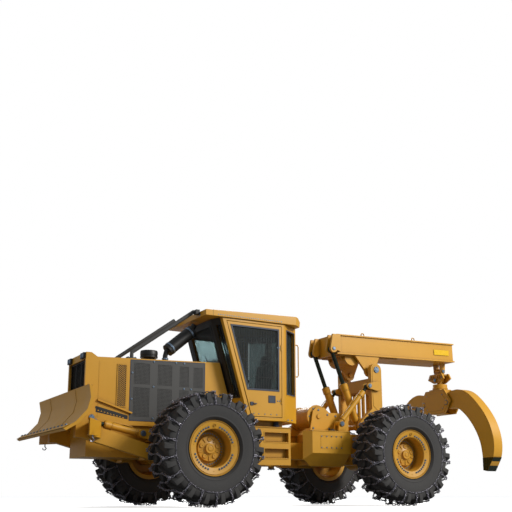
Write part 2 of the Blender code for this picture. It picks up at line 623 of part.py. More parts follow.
# ---- Hydraulic cylinders ------------------------------------------------------------------------------
def hydraulic(name, base, eye, y, radius, barrel_length, rod_length, parent, eye_half=0.04):
    """A cylinder whose barrel turns on its base pin and whose rod slides out of it towards the eye."""
    length = hypot(eye[0] - base[0], eye[1] - base[1])
    turn = -atan2(eye[1] - base[1], eye[0] - base[0])
    pivot = empty(f"axis_{name}_cylinder", (base[0], y, base[1]), parent)
    pivot.rotation_euler = (0, turn, 0)
    bore_radius = radius * 0.62
    start = radius * 1.1 + 0.05
    barrel = rod(f"{name}_barrel", radius, (start, 0, 0), (barrel_length, 0, 0))
    boss = rod(f"{name}_boss", radius * 1.1, (0, -eye_half, 0), (0, eye_half, 0))
    neck = rod(f"{name}_neck", eye_half * 0.95, (0, 0, 0), (start + 0.02, 0, 0))
    join(barrel, neck, boss, rod(f"{name}_collar", radius * 1.18, (barrel_length - 0.10, 0, 0), (barrel_length, 0, 0)))
    cut(barrel, rod(f"{name}_bore", bore_radius, (start + 0.04, 0, 0), (barrel_length + 0.1, 0, 0)),
        bore(f"{name}_pin_hole", pin_radius(name), (0, -0.3, 0), (0, 0.3, 0)))
    hang(barrel, YELLOW, pivot)
    bar_radius = bore_radius * cos(pi / ROUND) - GAP
    piston = rod(f"{name}_rod", bar_radius, (length - rod_length, 0, 0), (length - 0.02, 0, 0))
    head = rod(f"{name}_head", bar_radius * 1.35, (length, -eye_half + 0.004, 0), (length, eye_half - 0.004, 0))
    hang(join(piston, head), CHROME, pivot)


def pin_radius(name):
    return {"boom": SHAFT_RADIUS, "arch": 0.035, "blade": 0.03}[name.split("_")[0]]


def hang(obj, paint, parent):
    """Gives a piece its material and an empty as its parent; its shape is already measured from that empty."""
    obj.data.materials.append(paint)
    attach(obj, parent, (0, 0, 0))
    return obj


# ---- Blade --------------------------------------------------------------------------------------------
def blade(parent):
    lift = empty("axis_blade", (ARM_PIVOT[0], 0, ARM_PIVOT[1]), parent)
    face = [(3.915, 1.79), (3.880, 1.60), (3.925, 1.42), (4.09, 1.235), (BLADE_TIP_X, 1.125)]
    back = [(x - BLADE_PLATE * 0.9, z - BLADE_PLATE * 0.5) for x, z in face]
    moldboard = prism("blade", face + back[::-1], "Y", -BLADE_HALF, BLADE_HALF)
    parts = [box("blade_spine", (3.82, 3.88), (-1.0, 1.0), (1.40, 1.56))]
    x, z = BLADE_PIN
    for side in (-1, 1):
        inner, outer = side * (ARM_Y - ARM_THICK / 2), side * (ARM_Y + ARM_THICK / 2)
        arm = prism(f"blade_arm_{side}", bar(ARM_PIVOT, (3.72, 1.15), 0.11, 0.12) , "Y", inner, outer)
        cut(arm, bore(f"arm_hole_{side}", 0.05, (ARM_PIVOT[0], -2, ARM_PIVOT[1]), (ARM_PIVOT[0], 2, ARM_PIVOT[1])))
        wing = prism(f"blade_wing_{side}", [(3.88, side * BLADE_HALF), (3.88, side * (BLADE_HALF - 0.06)),
                                            (3.62, side * (ARM_Y - ARM_THICK / 2)), (3.50, side * (ARM_Y + ARM_THICK / 2))],
                     "Z", 1.05, 1.30)
        foot = box(f"blade_foot_{side}", (3.60, 3.90), (inner, outer), (1.05, 1.50))
        ears = [prism(f"blade_ear_{side}_{near}", bar((x, z), (x + 0.24, z + 0.02), 0.07, 0.10), "Y",
                      side * BLADE_CYL_Y + near, side * BLADE_CYL_Y + far) for near, far in ((-0.09, -0.055), (0.055, 0.09))]
        parts += [arm, wing, foot, *ears]
    finish(join(moldboard, *parts), YELLOW, lift)
    for name, side in SIDES:
        hydraulic(f"blade_{name}", BLADE_BASE, BLADE_PIN, side * BLADE_CYL_Y, 0.055, 0.62, 0.60, parent, 0.045)


# ---- Rear frame ---------------------------------------------------------------------------------------
def rear_frame(parent):
    beam = box("rear_frame", (REAR_END, TONGUE_REAR + 0.02), (-REAR_HALF, REAR_HALF), (REAR_LOW, REAR_TOP))
    cut(beam, axle_bay("rear_axle_bay", -AXLE_X))
    tongue = prism("steering_tongue", [(TONGUE_REAR, -TONGUE_HALF), *arc_points((0, 0), TONGUE_HALF * 0.8, -80, 80, 8),
                                       (TONGUE_REAR, TONGUE_HALF)], "Z", LOWER_EAR[1] + CLEAR, UPPER_EAR[0] - CLEAR)
    cut(tongue, bore("steering_bore", PIVOT_PIN, (0, 0, 0), (0, 0, 2)))
    pieces = [tongue]
    for side in (-1, 1):
        plan = [(TANK_FRONT + 0.30, side * (TANK_HALF - 0.30)), (TANK_FRONT, side * TANK_HALF),
                (TANK_REAR, side * TANK_HALF), (TANK_REAR, side * 0.35), (TANK_FRONT + 0.30, side * 0.35)]
        tank = prism(f"side_tank_{side}", plan, "Z", TANK_LOW, TANK_TOP)
        bevel = prism(f"tank_bevel_{side}", [(side * (TANK_HALF + 0.01), TANK_EDGE),
                                             (side * (TANK_HALF + 0.01), TANK_LOW - 0.01),
                                             (side * (TANK_HALF - 0.26), TANK_LOW - 0.01)], "X", -2.0, 0.0)
        cut(tank, bevel, rod(f"turning_room_{side}", TURN_RADIUS, (0, 0, 0), (0, 0, 2), steps=48))
        pieces.append(tank)
        cheek = prism(f"winch_cheek_{side}", [(-0.62, REAR_TOP - 0.02), (-0.70, WINCH_Z + 0.10), (-0.78, WINCH_Z + 0.17),
                                              (-0.95, WINCH_Z + 0.17), (-1.06, WINCH_Z + 0.08), (-1.50, WINCH_Z + 0.08),
                                              (-1.50, REAR_TOP - 0.02)], "Y",
                      side * (WINCH_HALF + 0.02), side * (WINCH_HALF + 0.05))
        cut(cheek, bore(f"winch_bore_{side}", 0.04, (WINCH_X, -1, WINCH_Z), (WINCH_X, 1, WINCH_Z)))
        pieces.append(cheek)
        for near, far in ((0.045, 0.08), (-0.08, -0.045)):
            y = side * ARCH_CYL_Y
            pieces.append(prism(f"arch_base_ear_{side}_{near}", bar(ARCH_BASE, (ARCH_BASE[0], REAR_TOP - 0.05), 0.06, 0.09),
                                "Y", y + near, y + far))
        pieces.append(rod(f"arch_base_pin_{side}", 0.035, (ARCH_BASE[0], side * (ARCH_CYL_Y - 0.09), ARCH_BASE[1]),
                          (ARCH_BASE[0], side * (ARCH_CYL_Y + 0.09), ARCH_BASE[1])))
        foot = prism(f"arch_bracket_{side}", bar(ARCH_PIVOT, (ARCH_PIVOT[0], 1.27), 0.10, 0.14), "Y",
                     side * 0.60, side * 0.66)
        cut(foot, bore(f"arch_bracket_bore_{side}", SHAFT_RADIUS, (ARCH_PIVOT[0], -1, ARCH_PIVOT[1]),
                      (ARCH_PIVOT[0], 1, ARCH_PIVOT[1])))
        pieces += [foot, box(f"arch_bracket_root_{side}", (ARCH_PIVOT[0] - 0.10, ARCH_PIVOT[0] + 0.20),
                             (side * 0.38, side * 0.64), (AXLE_SEAT, AXLE_SEAT + 0.06))]
    finish(join(beam, *pieces), YELLOW, parent)
    bumper = box("butt_plate", (REAR_END - GAP, REAR_END - BUTT_PLATE), (-0.60, 0.60), (REAR_LOW - 0.10, REAR_TOP + 0.06))
    finish(bumper, YELLOW, parent)


def winch(parent):
    turn = empty("axis_winch", (WINCH_X, 0, WINCH_Z), parent)
    drum = rod("winch_drum", WINCH_DRUM, (WINCH_X, -WINCH_HALF, WINCH_Z), (WINCH_X, WINCH_HALF, WINCH_Z))
    flanges = [rod(f"winch_flange_{side}", WINCH_FLANGE, (WINCH_X, side * (WINCH_HALF - 0.03), WINCH_Z),
                   (WINCH_X, side * WINCH_HALF, WINCH_Z)) for side in (-1, 1)]
    shaft = rod("winch_shaft", 0.04, (WINCH_X, -WINCH_HALF - 0.07, WINCH_Z), (WINCH_X, WINCH_HALF + 0.07, WINCH_Z))
    finish(join(drum, *flanges, shaft), YELLOW, turn)


# ---- Arch, boom and grapple ---------------------------------------------------------------------------
def arch(parent):
    swing = empty("axis_arch", (ARCH_PIVOT[0], 0, ARCH_PIVOT[1]), parent)
    px, pz = ARCH_PIVOT
    bx, bz = BOOM_PIVOT
    shaft = rod("arch", SHAFT_RADIUS, (px, -0.70, pz), (px, 0.70, pz))
    parts = []
    for side in (-1, 1):
        inner, outer = side * (POST_Y - POST_THICK / 2), side * (POST_Y + POST_THICK / 2)
        outline = (arc_points((bx, bz), (POST_FRONT - POST_REAR) / 2, 0, 180, 8)
                   + [(POST_REAR, 1.55), (px - 0.16, pz - 0.02)] + arc_points((px, pz), 0.12, 200, 360, 8)
                   + [(px + 0.10, 1.55), (POST_FRONT, 1.80)])
        parts.append(prism(f"arch_post_{side}", outline, "Y", inner, outer))
        for near, far in ((-0.085, -0.048), (0.048, 0.085)):
            y = side * ARCH_CYL_Y
            parts.append(prism(f"arch_pin_ear_{side}_{near}", bar(ARCH_PIN, (POST_FRONT - 0.10, ARCH_PIN[1]), 0.055, 0.09),
                               "Y", y + near, y + far))
        parts.append(box(f"arch_pin_block_{side}", (POST_FRONT - 0.16, POST_FRONT - 0.07),
                         (side * (ARCH_CYL_Y - 0.085), side * (ARCH_CYL_Y + 0.085)),
                         (ARCH_PIN[1] - 0.08, ARCH_PIN[1] + 0.08)))
    parts.append(box("arch_beam", (POST_FRONT - 0.17, POST_FRONT - 0.03), (-POST_Y, POST_Y), (2.14, 2.40)))
    parts.append(box("arch_low_beam", (POST_FRONT - 0.17, POST_FRONT - 0.03), (-POST_Y, POST_Y), (1.51, 1.62)))
    for i in range(-2, 3):
        y = i * 0.14
        parts.append(rod(f"fairlead_roller_{i}", 0.035, (POST_FRONT - 0.10, y, 1.60), (POST_FRONT - 0.10, y, 2.16), 12))
    for side in (-1, 1):
        parts.append(rod(f"boom_pin_{side}", 0.045, (bx, side * (POST_Y + 0.06), bz), (bx, side * 0.26, bz)))
    finish(join(shaft, *parts), YELLOW, swing)
    for name, side in SIDES:
        hydraulic(f"arch_{name}", ARCH_BASE, ARCH_PIN, side * ARCH_CYL_Y, 0.05, 0.84, 0.79, parent, 0.04)
    return swing


def tilted(points):
    """Side-view points of the boom, which is drawn level, turned about its pivot to its resting slope."""
    bx, bz = BOOM_PIVOT
    return [(bx + (x - bx) * cos(BOOM_TILT) + (z - bz) * sin(BOOM_TILT),
             bz - (x - bx) * sin(BOOM_TILT) + (z - bz) * cos(BOOM_TILT)) for x, z in points]


def boom(parent):
    lift = empty("axis_boom", (BOOM_PIVOT[0], 0, BOOM_PIVOT[1]), parent)
    bx, bz = BOOM_PIVOT
    body = prism("boom", tilted([(BOOM_FRONT, BOOM_LOW), (BOOM_FRONT, BOOM_TOP), (BOOM_REAR, BOOM_TOP),
                                 (BOOM_REAR, BOOM_LOW)]), "Y", -BOOM_HALF + FLANGE, BOOM_HALF - FLANGE)
    parts = [prism(f"boom_flange_{z}", tilted([(BOOM_FRONT, z), (BOOM_FRONT, z + FLANGE), (BOOM_REAR - 0.02, z + FLANGE),
                                               (BOOM_REAR - 0.02, z)]), "Y", -BOOM_HALF, BOOM_HALF)
             for z in (BOOM_LOW - 0.01, BOOM_TOP - 0.015)]
    parts.append(prism("boom_keel", tilted([(BOOM_FRONT - 0.1, BOOM_LOW), (BOOM_FRONT - 0.1, BOOM_LOW - 0.03),
                                            (-2.75, BOOM_LOW - 0.03), (-2.85, BOOM_LOW)]), "Y", -0.30, 0.30))
    for side in (-1, 1):
        parts.append(prism(f"pivot_cheek_{side}", arc_points((bx, bz), 0.11, 180, 360, 8)
                           + tilted([(bx + 0.36, BOOM_LOW + 0.01), (bx - 0.26, BOOM_LOW + 0.01)]), "Y",
                           side * 0.30, side * 0.36))
        for near, far in ((-0.095, -0.05), (0.05, 0.095)):
            y = side * BOOM_CYL_Y
            px, pz = BOOM_PIN
            parts.append(prism(f"boom_ear_{side}_{near}", arc_points((px, pz), 0.075, 200, 380, 8)
                               + [(px + 0.02, BOOM_TOP - 0.02), (BOOM_FRONT - 0.06, BOOM_TOP - 0.02),
                                  (BOOM_FRONT - 0.06, BOOM_LOW + 0.02)], "Y", y + near, y + far))
    parts.append(rod("boom_cross_tube", 0.16, (-1.66, -0.28, BOOM_LOW - 0.05), (-1.66, 0.28, BOOM_LOW - 0.05)))
    for side in (-1, 1):
        parts.append(prism(f"tip_ear_{side}", arc_points((TIP_X, TIP_Z), 0.06, 180, 360, 6)
                           + [(TIP_X + 0.07, BOOM_LOW + 0.06), (TIP_X - 0.07, BOOM_LOW + 0.06)], "Y",
                           side * 0.075, side * 0.11))
    parts.append(rod("tip_pin", 0.035, (TIP_X, -0.12, TIP_Z), (TIP_X, 0.12, TIP_Z)))
    join(body, *parts)
    cut(body, *[bore(f"boom_bore_{side}", 0.045, (bx, side * 0.2, bz), (bx, side * 0.5, bz)) for side in (-1, 1)])
    finish(body, YELLOW, lift)
    return lift


def boom_cylinders(parent):
    for name, side in SIDES:
        hydraulic(f"boom_{name}", ARCH_PIVOT, BOOM_PIN, side * BOOM_CYL_Y, 0.065, 0.86, 1.06, parent, 0.045)


def grapple(parent):
    swing = empty("axis_crosshead", (TIP_X, 0, TIP_Z), parent)
    eye = rod("crosshead", 0.065, (TIP_X, -0.065, TIP_Z), (TIP_X, 0.065, TIP_Z))
    web = prism("crosshead_web", [(-0.06, TIP_Z), (-0.06, TIP_Z - 0.075), (-0.17, SWAY_Z + 0.10),
                                      (0.17, SWAY_Z + 0.10), (0.06, TIP_Z - 0.075), (0.06, TIP_Z)], "X",
                TIP_X - 0.06, TIP_X + 0.06)
    plates = [prism(f"crosshead_plate_{side}", [(-0.24, SWAY_Z + 0.02), (-0.18, SWAY_Z + 0.13), (0.18, SWAY_Z + 0.13),
                                                (0.24, SWAY_Z + 0.02), (0.07, SWAY_Z - 0.065), (-0.07, SWAY_Z - 0.065)], "X",
                    TIP_X + side * 0.075, TIP_X + side * 0.11) for side in (-1, 1)]
    bridge = box("crosshead_bridge", (TIP_X - 0.10, TIP_X + 0.10), (-0.16, 0.16), (SWAY_Z + 0.085, SWAY_Z + 0.12))
    pin = rod("sway_pin", 0.035, (TIP_X - 0.13, 0, SWAY_Z), (TIP_X + 0.13, 0, SWAY_Z))
    join(eye, web, *plates, bridge, pin)
    cut(eye, bore("tip_bore", 0.035, (TIP_X, -1, TIP_Z), (TIP_X, 1, TIP_Z)))
    finish(eye, YELLOW, swing)

    sway = empty("axis_rotator", (TIP_X, 0, SWAY_Z), swing)
    block = rod("rotator", 0.065, (TIP_X - 0.065, 0, SWAY_Z), (TIP_X + 0.065, 0, SWAY_Z))
    stem = rod("rotator_stem", 0.06, (TIP_X, 0, SWAY_Z - 0.03), (TIP_X, 0, HEAD_TOP + 0.10))
    motor = rod("rotator_motor", 0.15, (TIP_X, 0, SWAY_Z - 0.09), (TIP_X, 0, HEAD_TOP + GAP + 0.02), 24)
    join(block, stem, motor)
    cut(block, bore("sway_bore", 0.035, (TIP_X - 1, 0, SWAY_Z), (TIP_X + 1, 0, SWAY_Z)))
    finish(block, YELLOW, sway)

    turn = empty("axis_grapple", (TIP_X, 0, HEAD_TOP), sway)
    middle = (HEAD_TOP + HEAD_LOW) / 2
    hexagon = [(HEAD_HALF_Y, middle), (0.28, HEAD_TOP), (-0.28, HEAD_TOP), (-HEAD_HALF_Y, middle),
               (-0.28, HEAD_LOW), (0.28, HEAD_LOW)]
    head = prism("grapple_head", hexagon, "X", TIP_X + HEAD_HALF_X - HEAD_PLATE, TIP_X + HEAD_HALF_X)
    rear = prism("grapple_head_rear", hexagon, "X", TIP_X - HEAD_HALF_X, TIP_X - HEAD_HALF_X + HEAD_PLATE)
    crown = box("grapple_crown", (TIP_X - HEAD_HALF_X, TIP_X + HEAD_HALF_X), (-0.16, 0.16), (HEAD_TOP - 0.05, HEAD_TOP + 0.02))
    floor = box("grapple_floor", (TIP_X - HEAD_HALF_X, TIP_X + HEAD_HALF_X), (-0.12, 0.12), (HEAD_LOW, HEAD_LOW + 0.03))
    web = box("grapple_web", (TIP_X - HEAD_HALF_X, TIP_X + HEAD_HALF_X), (-0.02, 0.02), (HEAD_LOW, HEAD_TOP))
    pins = [rod(f"tong_pin_{side}", 0.04, (TIP_X - HEAD_HALF_X - TONG_PIN_OUT, side * TONG_Y, TONG_Z),
                (TIP_X + HEAD_HALF_X + TONG_PIN_OUT, side * TONG_Y, TONG_Z)) for side in (-1, 1)]
    finish(join(head, rear, crown, floor, web, *pins), YELLOW, turn)
    tongs(turn)


def tongs(parent):
    outer = [(0.36, 2.27), (0.62, 2.30), (0.90, 2.20), (1.20, 1.92), (1.42, 1.60), (1.53, 1.25), (1.50, 0.92), (1.32, 0.64)]
    inner = [(1.22, 0.66), (1.22, 0.92), (1.17, 1.22), (1.02, 1.52), (0.80, 1.78), (0.56, 1.94), (0.34, 1.93), (0.26, 2.02)]
    for name, side in SIDES:
        pivot = empty(f"axis_tong_{name}", (TIP_X, side * TONG_Y, TONG_Z), parent)
        tong = prism(f"tong_{name}", [(side * y, z) for y, z in outer + inner], "X", TIP_X - TONG_HALF, TIP_X + TONG_HALF)
        cut(tong, bore(f"tong_bore_{name}", 0.04, (TIP_X - 1, side * TONG_Y, TONG_Z), (TIP_X + 1, side * TONG_Y, TONG_Z)))
        finish(tong, YELLOW, pivot)


# ---- The machine --------------------------------------------------------------------------------------
clear_scene()
PARTS = collection("skidder")
CUTTERS = collection("cutters", hidden=True)
SIDES = (("left", 1), ("right", -1))
YELLOW = material("yellow_paint", (0.62, 0.36, 0.045), 0.35)
GREY = material("grey_paint", (0.07, 0.07, 0.07), 0.45)
DARK = material("black_paint", (0.02, 0.02, 0.02), 0.5)
RUBBER = material("tyre_rubber", (0.03, 0.03, 0.03), 0.8)
CHROME = material("chromed_rod", (0.35, 0.36, 0.35), 0.15, 1.0)
GLASS_MATERIAL = material("window_glass", (0.05, 0.07, 0.07), 0.05)


def main():
    root = empty("skidder", (0, 0, 0))
    root.location = (ORIGIN_X, 0, 0)
    front_frame(root)
    axle("front_axle", AXLE_X, root)
    hood(root)
    engine_panels(root)
    engine(root)
    limb_risers(root)
    cab(root)
    cab_glass(root)
    doors(root)
    seat(root)
    blade(root)
    rear = empty("axis_steering", (0, 0, 0), root)
    rear_frame(rear)
    axle("rear_axle", -AXLE_X, rear)
    winch(rear)
    swing = arch(rear)
    lift = boom(swing)
    boom_cylinders(swing)
    grapple(lift)
    for corner, x, side, parent in (("front_left", AXLE_X, 1, root), ("front_right", AXLE_X, -1, root),
                                    ("rear_left", -AXLE_X, 1, rear), ("rear_right", -AXLE_X, -1, rear)):
        wheel(corner, x, side, parent)


main()
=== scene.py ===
"""Finish for a four-wheel grapple skidder: paint, tyres with their chains, screens, cab fittings and pins.

Laid out as an add-on and run as a script.  Places in this file are in metres from the steering pivot, which
lies midway between the axles at floor level: +X forward, +Y to the machine's left, +Z up.
"""

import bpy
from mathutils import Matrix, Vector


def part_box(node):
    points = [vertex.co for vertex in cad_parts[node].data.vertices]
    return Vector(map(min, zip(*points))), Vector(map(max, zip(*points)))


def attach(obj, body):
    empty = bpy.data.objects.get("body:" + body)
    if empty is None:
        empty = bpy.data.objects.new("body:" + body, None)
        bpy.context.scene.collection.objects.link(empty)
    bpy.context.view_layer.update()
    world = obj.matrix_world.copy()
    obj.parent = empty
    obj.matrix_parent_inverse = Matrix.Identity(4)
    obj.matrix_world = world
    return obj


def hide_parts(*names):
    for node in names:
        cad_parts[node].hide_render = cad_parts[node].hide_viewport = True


bl_info = {
    "name": "Skidder finish",
    "version": (1, 0, 0),
    "blender": (4, 5, 0),
    "location": "View3D > Sidebar > Skidder",
    "description": "Adds the finish and the fine pieces of a four-wheel grapple skidder",
    "category": "Object",
}

from math import atan2, ceil, cos, pi, radians, sin

import bmesh
import bpy
import numpy as np
from bpy.props import FloatProperty, FloatVectorProperty, IntProperty, PointerProperty
from bpy.types import Operator, Panel, PropertyGroup
from mathutils import Matrix, Vector
from mathutils.geometry import tessellate_polygon

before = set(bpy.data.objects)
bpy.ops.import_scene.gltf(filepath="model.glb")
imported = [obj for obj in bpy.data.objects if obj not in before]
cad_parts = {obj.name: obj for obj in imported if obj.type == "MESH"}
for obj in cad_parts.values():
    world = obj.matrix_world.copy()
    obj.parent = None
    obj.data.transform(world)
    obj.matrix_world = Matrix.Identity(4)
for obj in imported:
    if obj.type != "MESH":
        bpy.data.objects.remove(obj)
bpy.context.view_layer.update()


def middle(node):
    low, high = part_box(node)
    return (low + high) / 2


PIVOT_X = (middle("tyre_front_left").x + middle("tyre_rear_left").x) / 2
SIDES = (("left", 1), ("right", -1))
MATERIALS = {}


# ---- Colours and sizes that a user would change -------------------------------------------------------
def linear(code):
    """The linear colour of an sRGB hex code."""
    parts = [int(code[i:i + 2], 16) / 255 for i in (1, 3, 5)]
    return tuple(c / 12.92 if c <= 0.04045 else ((c + 0.055) / 1.055) ** 2.4 for c in parts)


def colour_prop(name, code, description):
    return FloatVectorProperty(name=name, description=description, default=linear(code), size=3,
                               subtype="COLOR", min=0.0, max=1.0)


def length_prop(name, default, description):
    return FloatProperty(name=name, description=description, default=default, min=0.0005,
                         unit="LENGTH", subtype="DISTANCE")


class SKIDDER_PG_colours(PropertyGroup):
    paint: colour_prop("Body enamel", "#D89E24", "Forestry yellow on frames, cab, boom and rims")
    panel: colour_prop("Panel grey", "#484847", "Powder coat of the engine panels and limb risers")
    black: colour_prop("Satin black", "#1B1C1C", "Exhaust, intake, screens and lamp housings")
    rubber: colour_prop("Tyre rubber", "#3A3A3B", "Tread and sidewalls")
    chain: colour_prop("Chain steel", "#8C8A94", "Hardened links of the tyre chains")
    zinc: colour_prop("Zinc plate", "#7F93A8", "Studs, bolts and pin caps")
    rod: colour_prop("Cylinder rod", "#3A4238", "Oiled, plated piston rods")
    seal: colour_prop("Seal rubber", "#3B4352", "Window and panel seals")
    cloth: colour_prop("Seat cloth", "#26282A", "Woven seat cover")
    plate: colour_prop("Blank label", "#F2C200", "Bare yellow plate on the boom")
    glass: colour_prop("Tinted glass", "#7C8989", "Cab windows")
    floor: colour_prop("Floor", "#F4F4F3", "Studio floor")


class SKIDDER_PG_wheels(PropertyGroup):
    lugs: IntProperty(name="Lugs", description="Lugs on each half of a tread", default=18, min=8, max=30)
    lug_top: length_prop("Lug radius", 0.862, "Radius over the lugs")
    carcass: length_prop("Carcass radius", 0.795, "Radius of the tread between its lugs")
    link: length_prop("Chain link", 0.066, "Length of a link across the tread")
    wire: length_prop("Chain wire", 0.0075, "Radius of a link's wire")
    ring: length_prop("Chain ring", 0.036, "Radius of the round rings that join the links")
    side_ring: length_prop("Side chain radius", 0.67, "Radius of the chain that runs round the sidewall")
    stud: length_prop("Stud", 0.022, "Width across a wheel stud's nut")


class SKIDDER_PG_fittings(PropertyGroup):
    edge: length_prop("Plate edge", 0.006, "Rounding of flame-cut plate")
    bolt: length_prop("Bolt head", 0.026, "Width across a bolt head")
    hole: length_prop("Perforation", 0.013, "Width of a hole in the engine panels")
    pitch: length_prop("Perforation pitch", 0.022, "Distance from hole to hole")
    wire: length_prop("Screen wire", 0.0026, "Radius of a wire in the cab's screens")
    mesh: length_prop("Screen pitch", 0.034, "Distance between the wires of the cab's screens")


class SKIDDER_PG_stage(PropertyGroup):
    key: FloatProperty(name="Key light", description="Power of the lamp behind the left shoulder",
                       default=4900, min=0, unit="POWER")
    fill: FloatProperty(name="Fill light", description="Power of the lamp ahead of the machine",
                        default=25, min=0, unit="POWER")
    room: FloatProperty(name="Room light", description="Strength of the even light from the room",
                        default=0.36, min=0)
    glow: FloatProperty(name="Floor glow", description="How much brighter the floor shows to the lens",
                        default=0.66, min=0)
    lens: length_prop("Focal length", 0.05625, "Focal length on a 36 mm wide sensor")
    shift: FloatProperty(name="Lens shift", description="How far the lens is shifted up", default=0.13)


def settings():
    return bpy.context.scene.skidder


# ---- Materials ----------------------------------------------------------------------------------------
def node(tree, kind, inputs=(), **values):
    """Adds a node with its settings, then sets or links each input that is given."""
    made = tree.nodes.new(kind)
    for name, value in values.items():
        setattr(made, name, value)
    for socket, value in dict(inputs).items():
        if isinstance(value, bpy.types.NodeSocket):
            tree.links.new(value, made.inputs[socket])
        else:
            made.inputs[socket].default_value = value
    return made


def rgba(colour, factor=1.0):
    return (*(min(1.0, channel * factor) for channel in colour), 1.0)


def surface(name, colour, roughness, slot=None, metallic=0.0, coat=0.0, mottle=(0.6, 0.10), dust=None,
            occlusion_shade=0.0, grain=(0.004, 0.0006), rough_spread=0.08, **sockets):
    """A material from measured sizes: mottle is (patch size in metres, share of the colour), grain is
    (size, height) of its bump in metres, dust is (colour, share, height above the floor where it ends)."""
    made = bpy.data.materials.new(name)
    made.use_nodes = True
    tree = made.node_tree
    shader = tree.nodes["Principled BSDF"]
    place = node(tree, "ShaderNodeTexCoord").outputs["Object"]
    patch = node(tree, "ShaderNodeTexNoise", {"Vector": place, "Scale": 1 / mottle[0], "Detail": 5.0,
                                              "Roughness": 0.62}).outputs["Fac"]
    tint = node(tree, "ShaderNodeMapRange", {0: patch, 1: 0.3, 2: 0.7}).outputs[0]
    base = node(tree, "ShaderNodeMix",
                {0: tint, 6: rgba(colour, 1 - mottle[1]), 7: rgba(colour, 1 + mottle[1])},
                data_type="RGBA").outputs[2]
    # painted shade: where ambient occlusion finds corners and crevices, the colour is darkened towards a
    # fifth of itself
    if occlusion_shade:
        shade = node(tree, "ShaderNodeAmbientOcclusion", {"Distance": 0.10}, samples=6, only_local=False)
        crevice = node(tree, "ShaderNodeMapRange",
                       {0: shade.outputs["AO"], 1: 0.55, 2: 0.95, 3: occlusion_shade, 4: 0.0})
        base = node(tree, "ShaderNodeMix", {0: crevice.outputs[0], 6: base, 7: rgba(colour, 0.22)},
                    data_type="RGBA").outputs[2]
    if dust:
        tone, share, top = dust
        height = node(tree, "ShaderNodeSeparateXYZ", {0: place}).outputs[2]
        low = node(tree, "ShaderNodeMapRange", {0: height, 1: 0.0, 2: top, 3: share, 4: 0.0}).outputs[0]
        speck = node(tree, "ShaderNodeTexNoise",
                     {"Vector": place, "Scale": 14.0, "Detail": 6.0}).outputs["Fac"]
        patchy = node(tree, "ShaderNodeMath", {0: low, 1: speck}, operation="MULTIPLY").outputs[0]
        base = node(tree, "ShaderNodeMix", {0: patchy, 6: base, 7: rgba(linear(tone))},
                    data_type="RGBA").outputs[2]
    tree.links.new(base, shader.inputs["Base Color"])
    rough = node(tree, "ShaderNodeMapRange", {0: patch, 1: 0.3, 2: 0.7, 3: roughness - rough_spread,
                                              4: roughness + rough_spread}).outputs[0]
    tree.links.new(rough, shader.inputs["Roughness"])
    peel = node(tree, "ShaderNodeTexNoise",
                {"Vector": place, "Scale": 1 / grain[0], "Detail": 2.0}).outputs["Fac"]
    bump = node(tree, "ShaderNodeBump", {"Height": peel, "Distance": grain[1], "Strength": 0.6})
    tree.links.new(bump.outputs[0], shader.inputs["Normal"])
    shader.inputs["Metallic"].default_value = metallic
    shader.inputs["Coat Weight"].default_value = coat
    for socket, value in sockets.items():
        shader.inputs[socket.replace("_", " ")].default_value = value
    MATERIALS[name] = made
    if slot:
        made["slot"] = slot
    return made


def make_materials():
    c = settings().colours
    mud = "#8A7350"
    # Two-part enamel sprayed on shot-blasted steel: an even gloss, faint orange peel, and painted shade that
    # darkens its corners and crevices.
    surface("sprayed_enamel", c.paint, 0.42, "yellow_paint", coat=0.04, mottle=(0.9, 0.035), occlusion_shade=0.55,
            dust=(mud, 0.28, 1.5), grain=(0.006, 0.0004))
    # Textured powder coat on sheet steel: matt with a fine pebble.
    surface("powder_coat_grey", c.panel, 0.55, "grey_paint", mottle=(0.5, 0.06), grain=(0.003, 0.0005))
    # Heat-proof satin black on the exhaust, the screens and the lamp housings.
    surface("satin_black", c.black, 0.48, "black_paint", mottle=(0.25, 0.12), grain=(0.003, 0.0005))
    # Natural-rubber forestry tread: dull, slightly dusty, with moulding grain and painted shade in its
    # crevices.
    surface("moulded_tyre_rubber", c.rubber, 0.78, "tyre_rubber", mottle=(0.35, 0.14),
            dust=("#6A6255", 0.10, 1.2), grain=(0.005, 0.0012), occlusion_shade=0.5)
    # Drop-forged, hardened chain worn bright where it meets the ground.
    surface("forged_chain_steel", c.chain, 0.34, metallic=0.9, mottle=(0.05, 0.35), grain=(0.004, 0.0006),
            rough_spread=0.14)
    # Zinc-plated nuts, bolts and pin caps.
    surface("zinc_plate", c.zinc, 0.34, metallic=0.85, mottle=(0.03, 0.12), grain=(0.002, 0.0002))
    # Plated piston rod under a film of oil: dark and close to a mirror along its length.
    surface("plated_rod", c.rod, 0.22, "chromed_rod", metallic=0.9, mottle=(0.08, 0.10),
            grain=(0.002, 0.0001))
    # Extruded sealing rubber with a blue-grey bloom.
    surface("seal_rubber", c.seal, 0.6, "black_paint", mottle=(0.08, 0.08), grain=(0.002, 0.0003))
    # Enamelled sign blank, left bare.
    surface("label_enamel", c.plate, 0.32, "yellow_paint", mottle=(0.06, 0.03), grain=(0.002, 0.0001))
    cloth()
    # Laminated, tinted cab glass: clear enough to show the seat, with a grey-green cast.
    glass = surface("tinted_glass", c.glass, 0.04, "window_glass", mottle=(0.4, 0.04), rough_spread=0.015,
                    grain=(0.08, 0.0002), IOR=1.5)
    glass.node_tree.nodes["Principled BSDF"].inputs["Transmission Weight"].default_value = 0.94


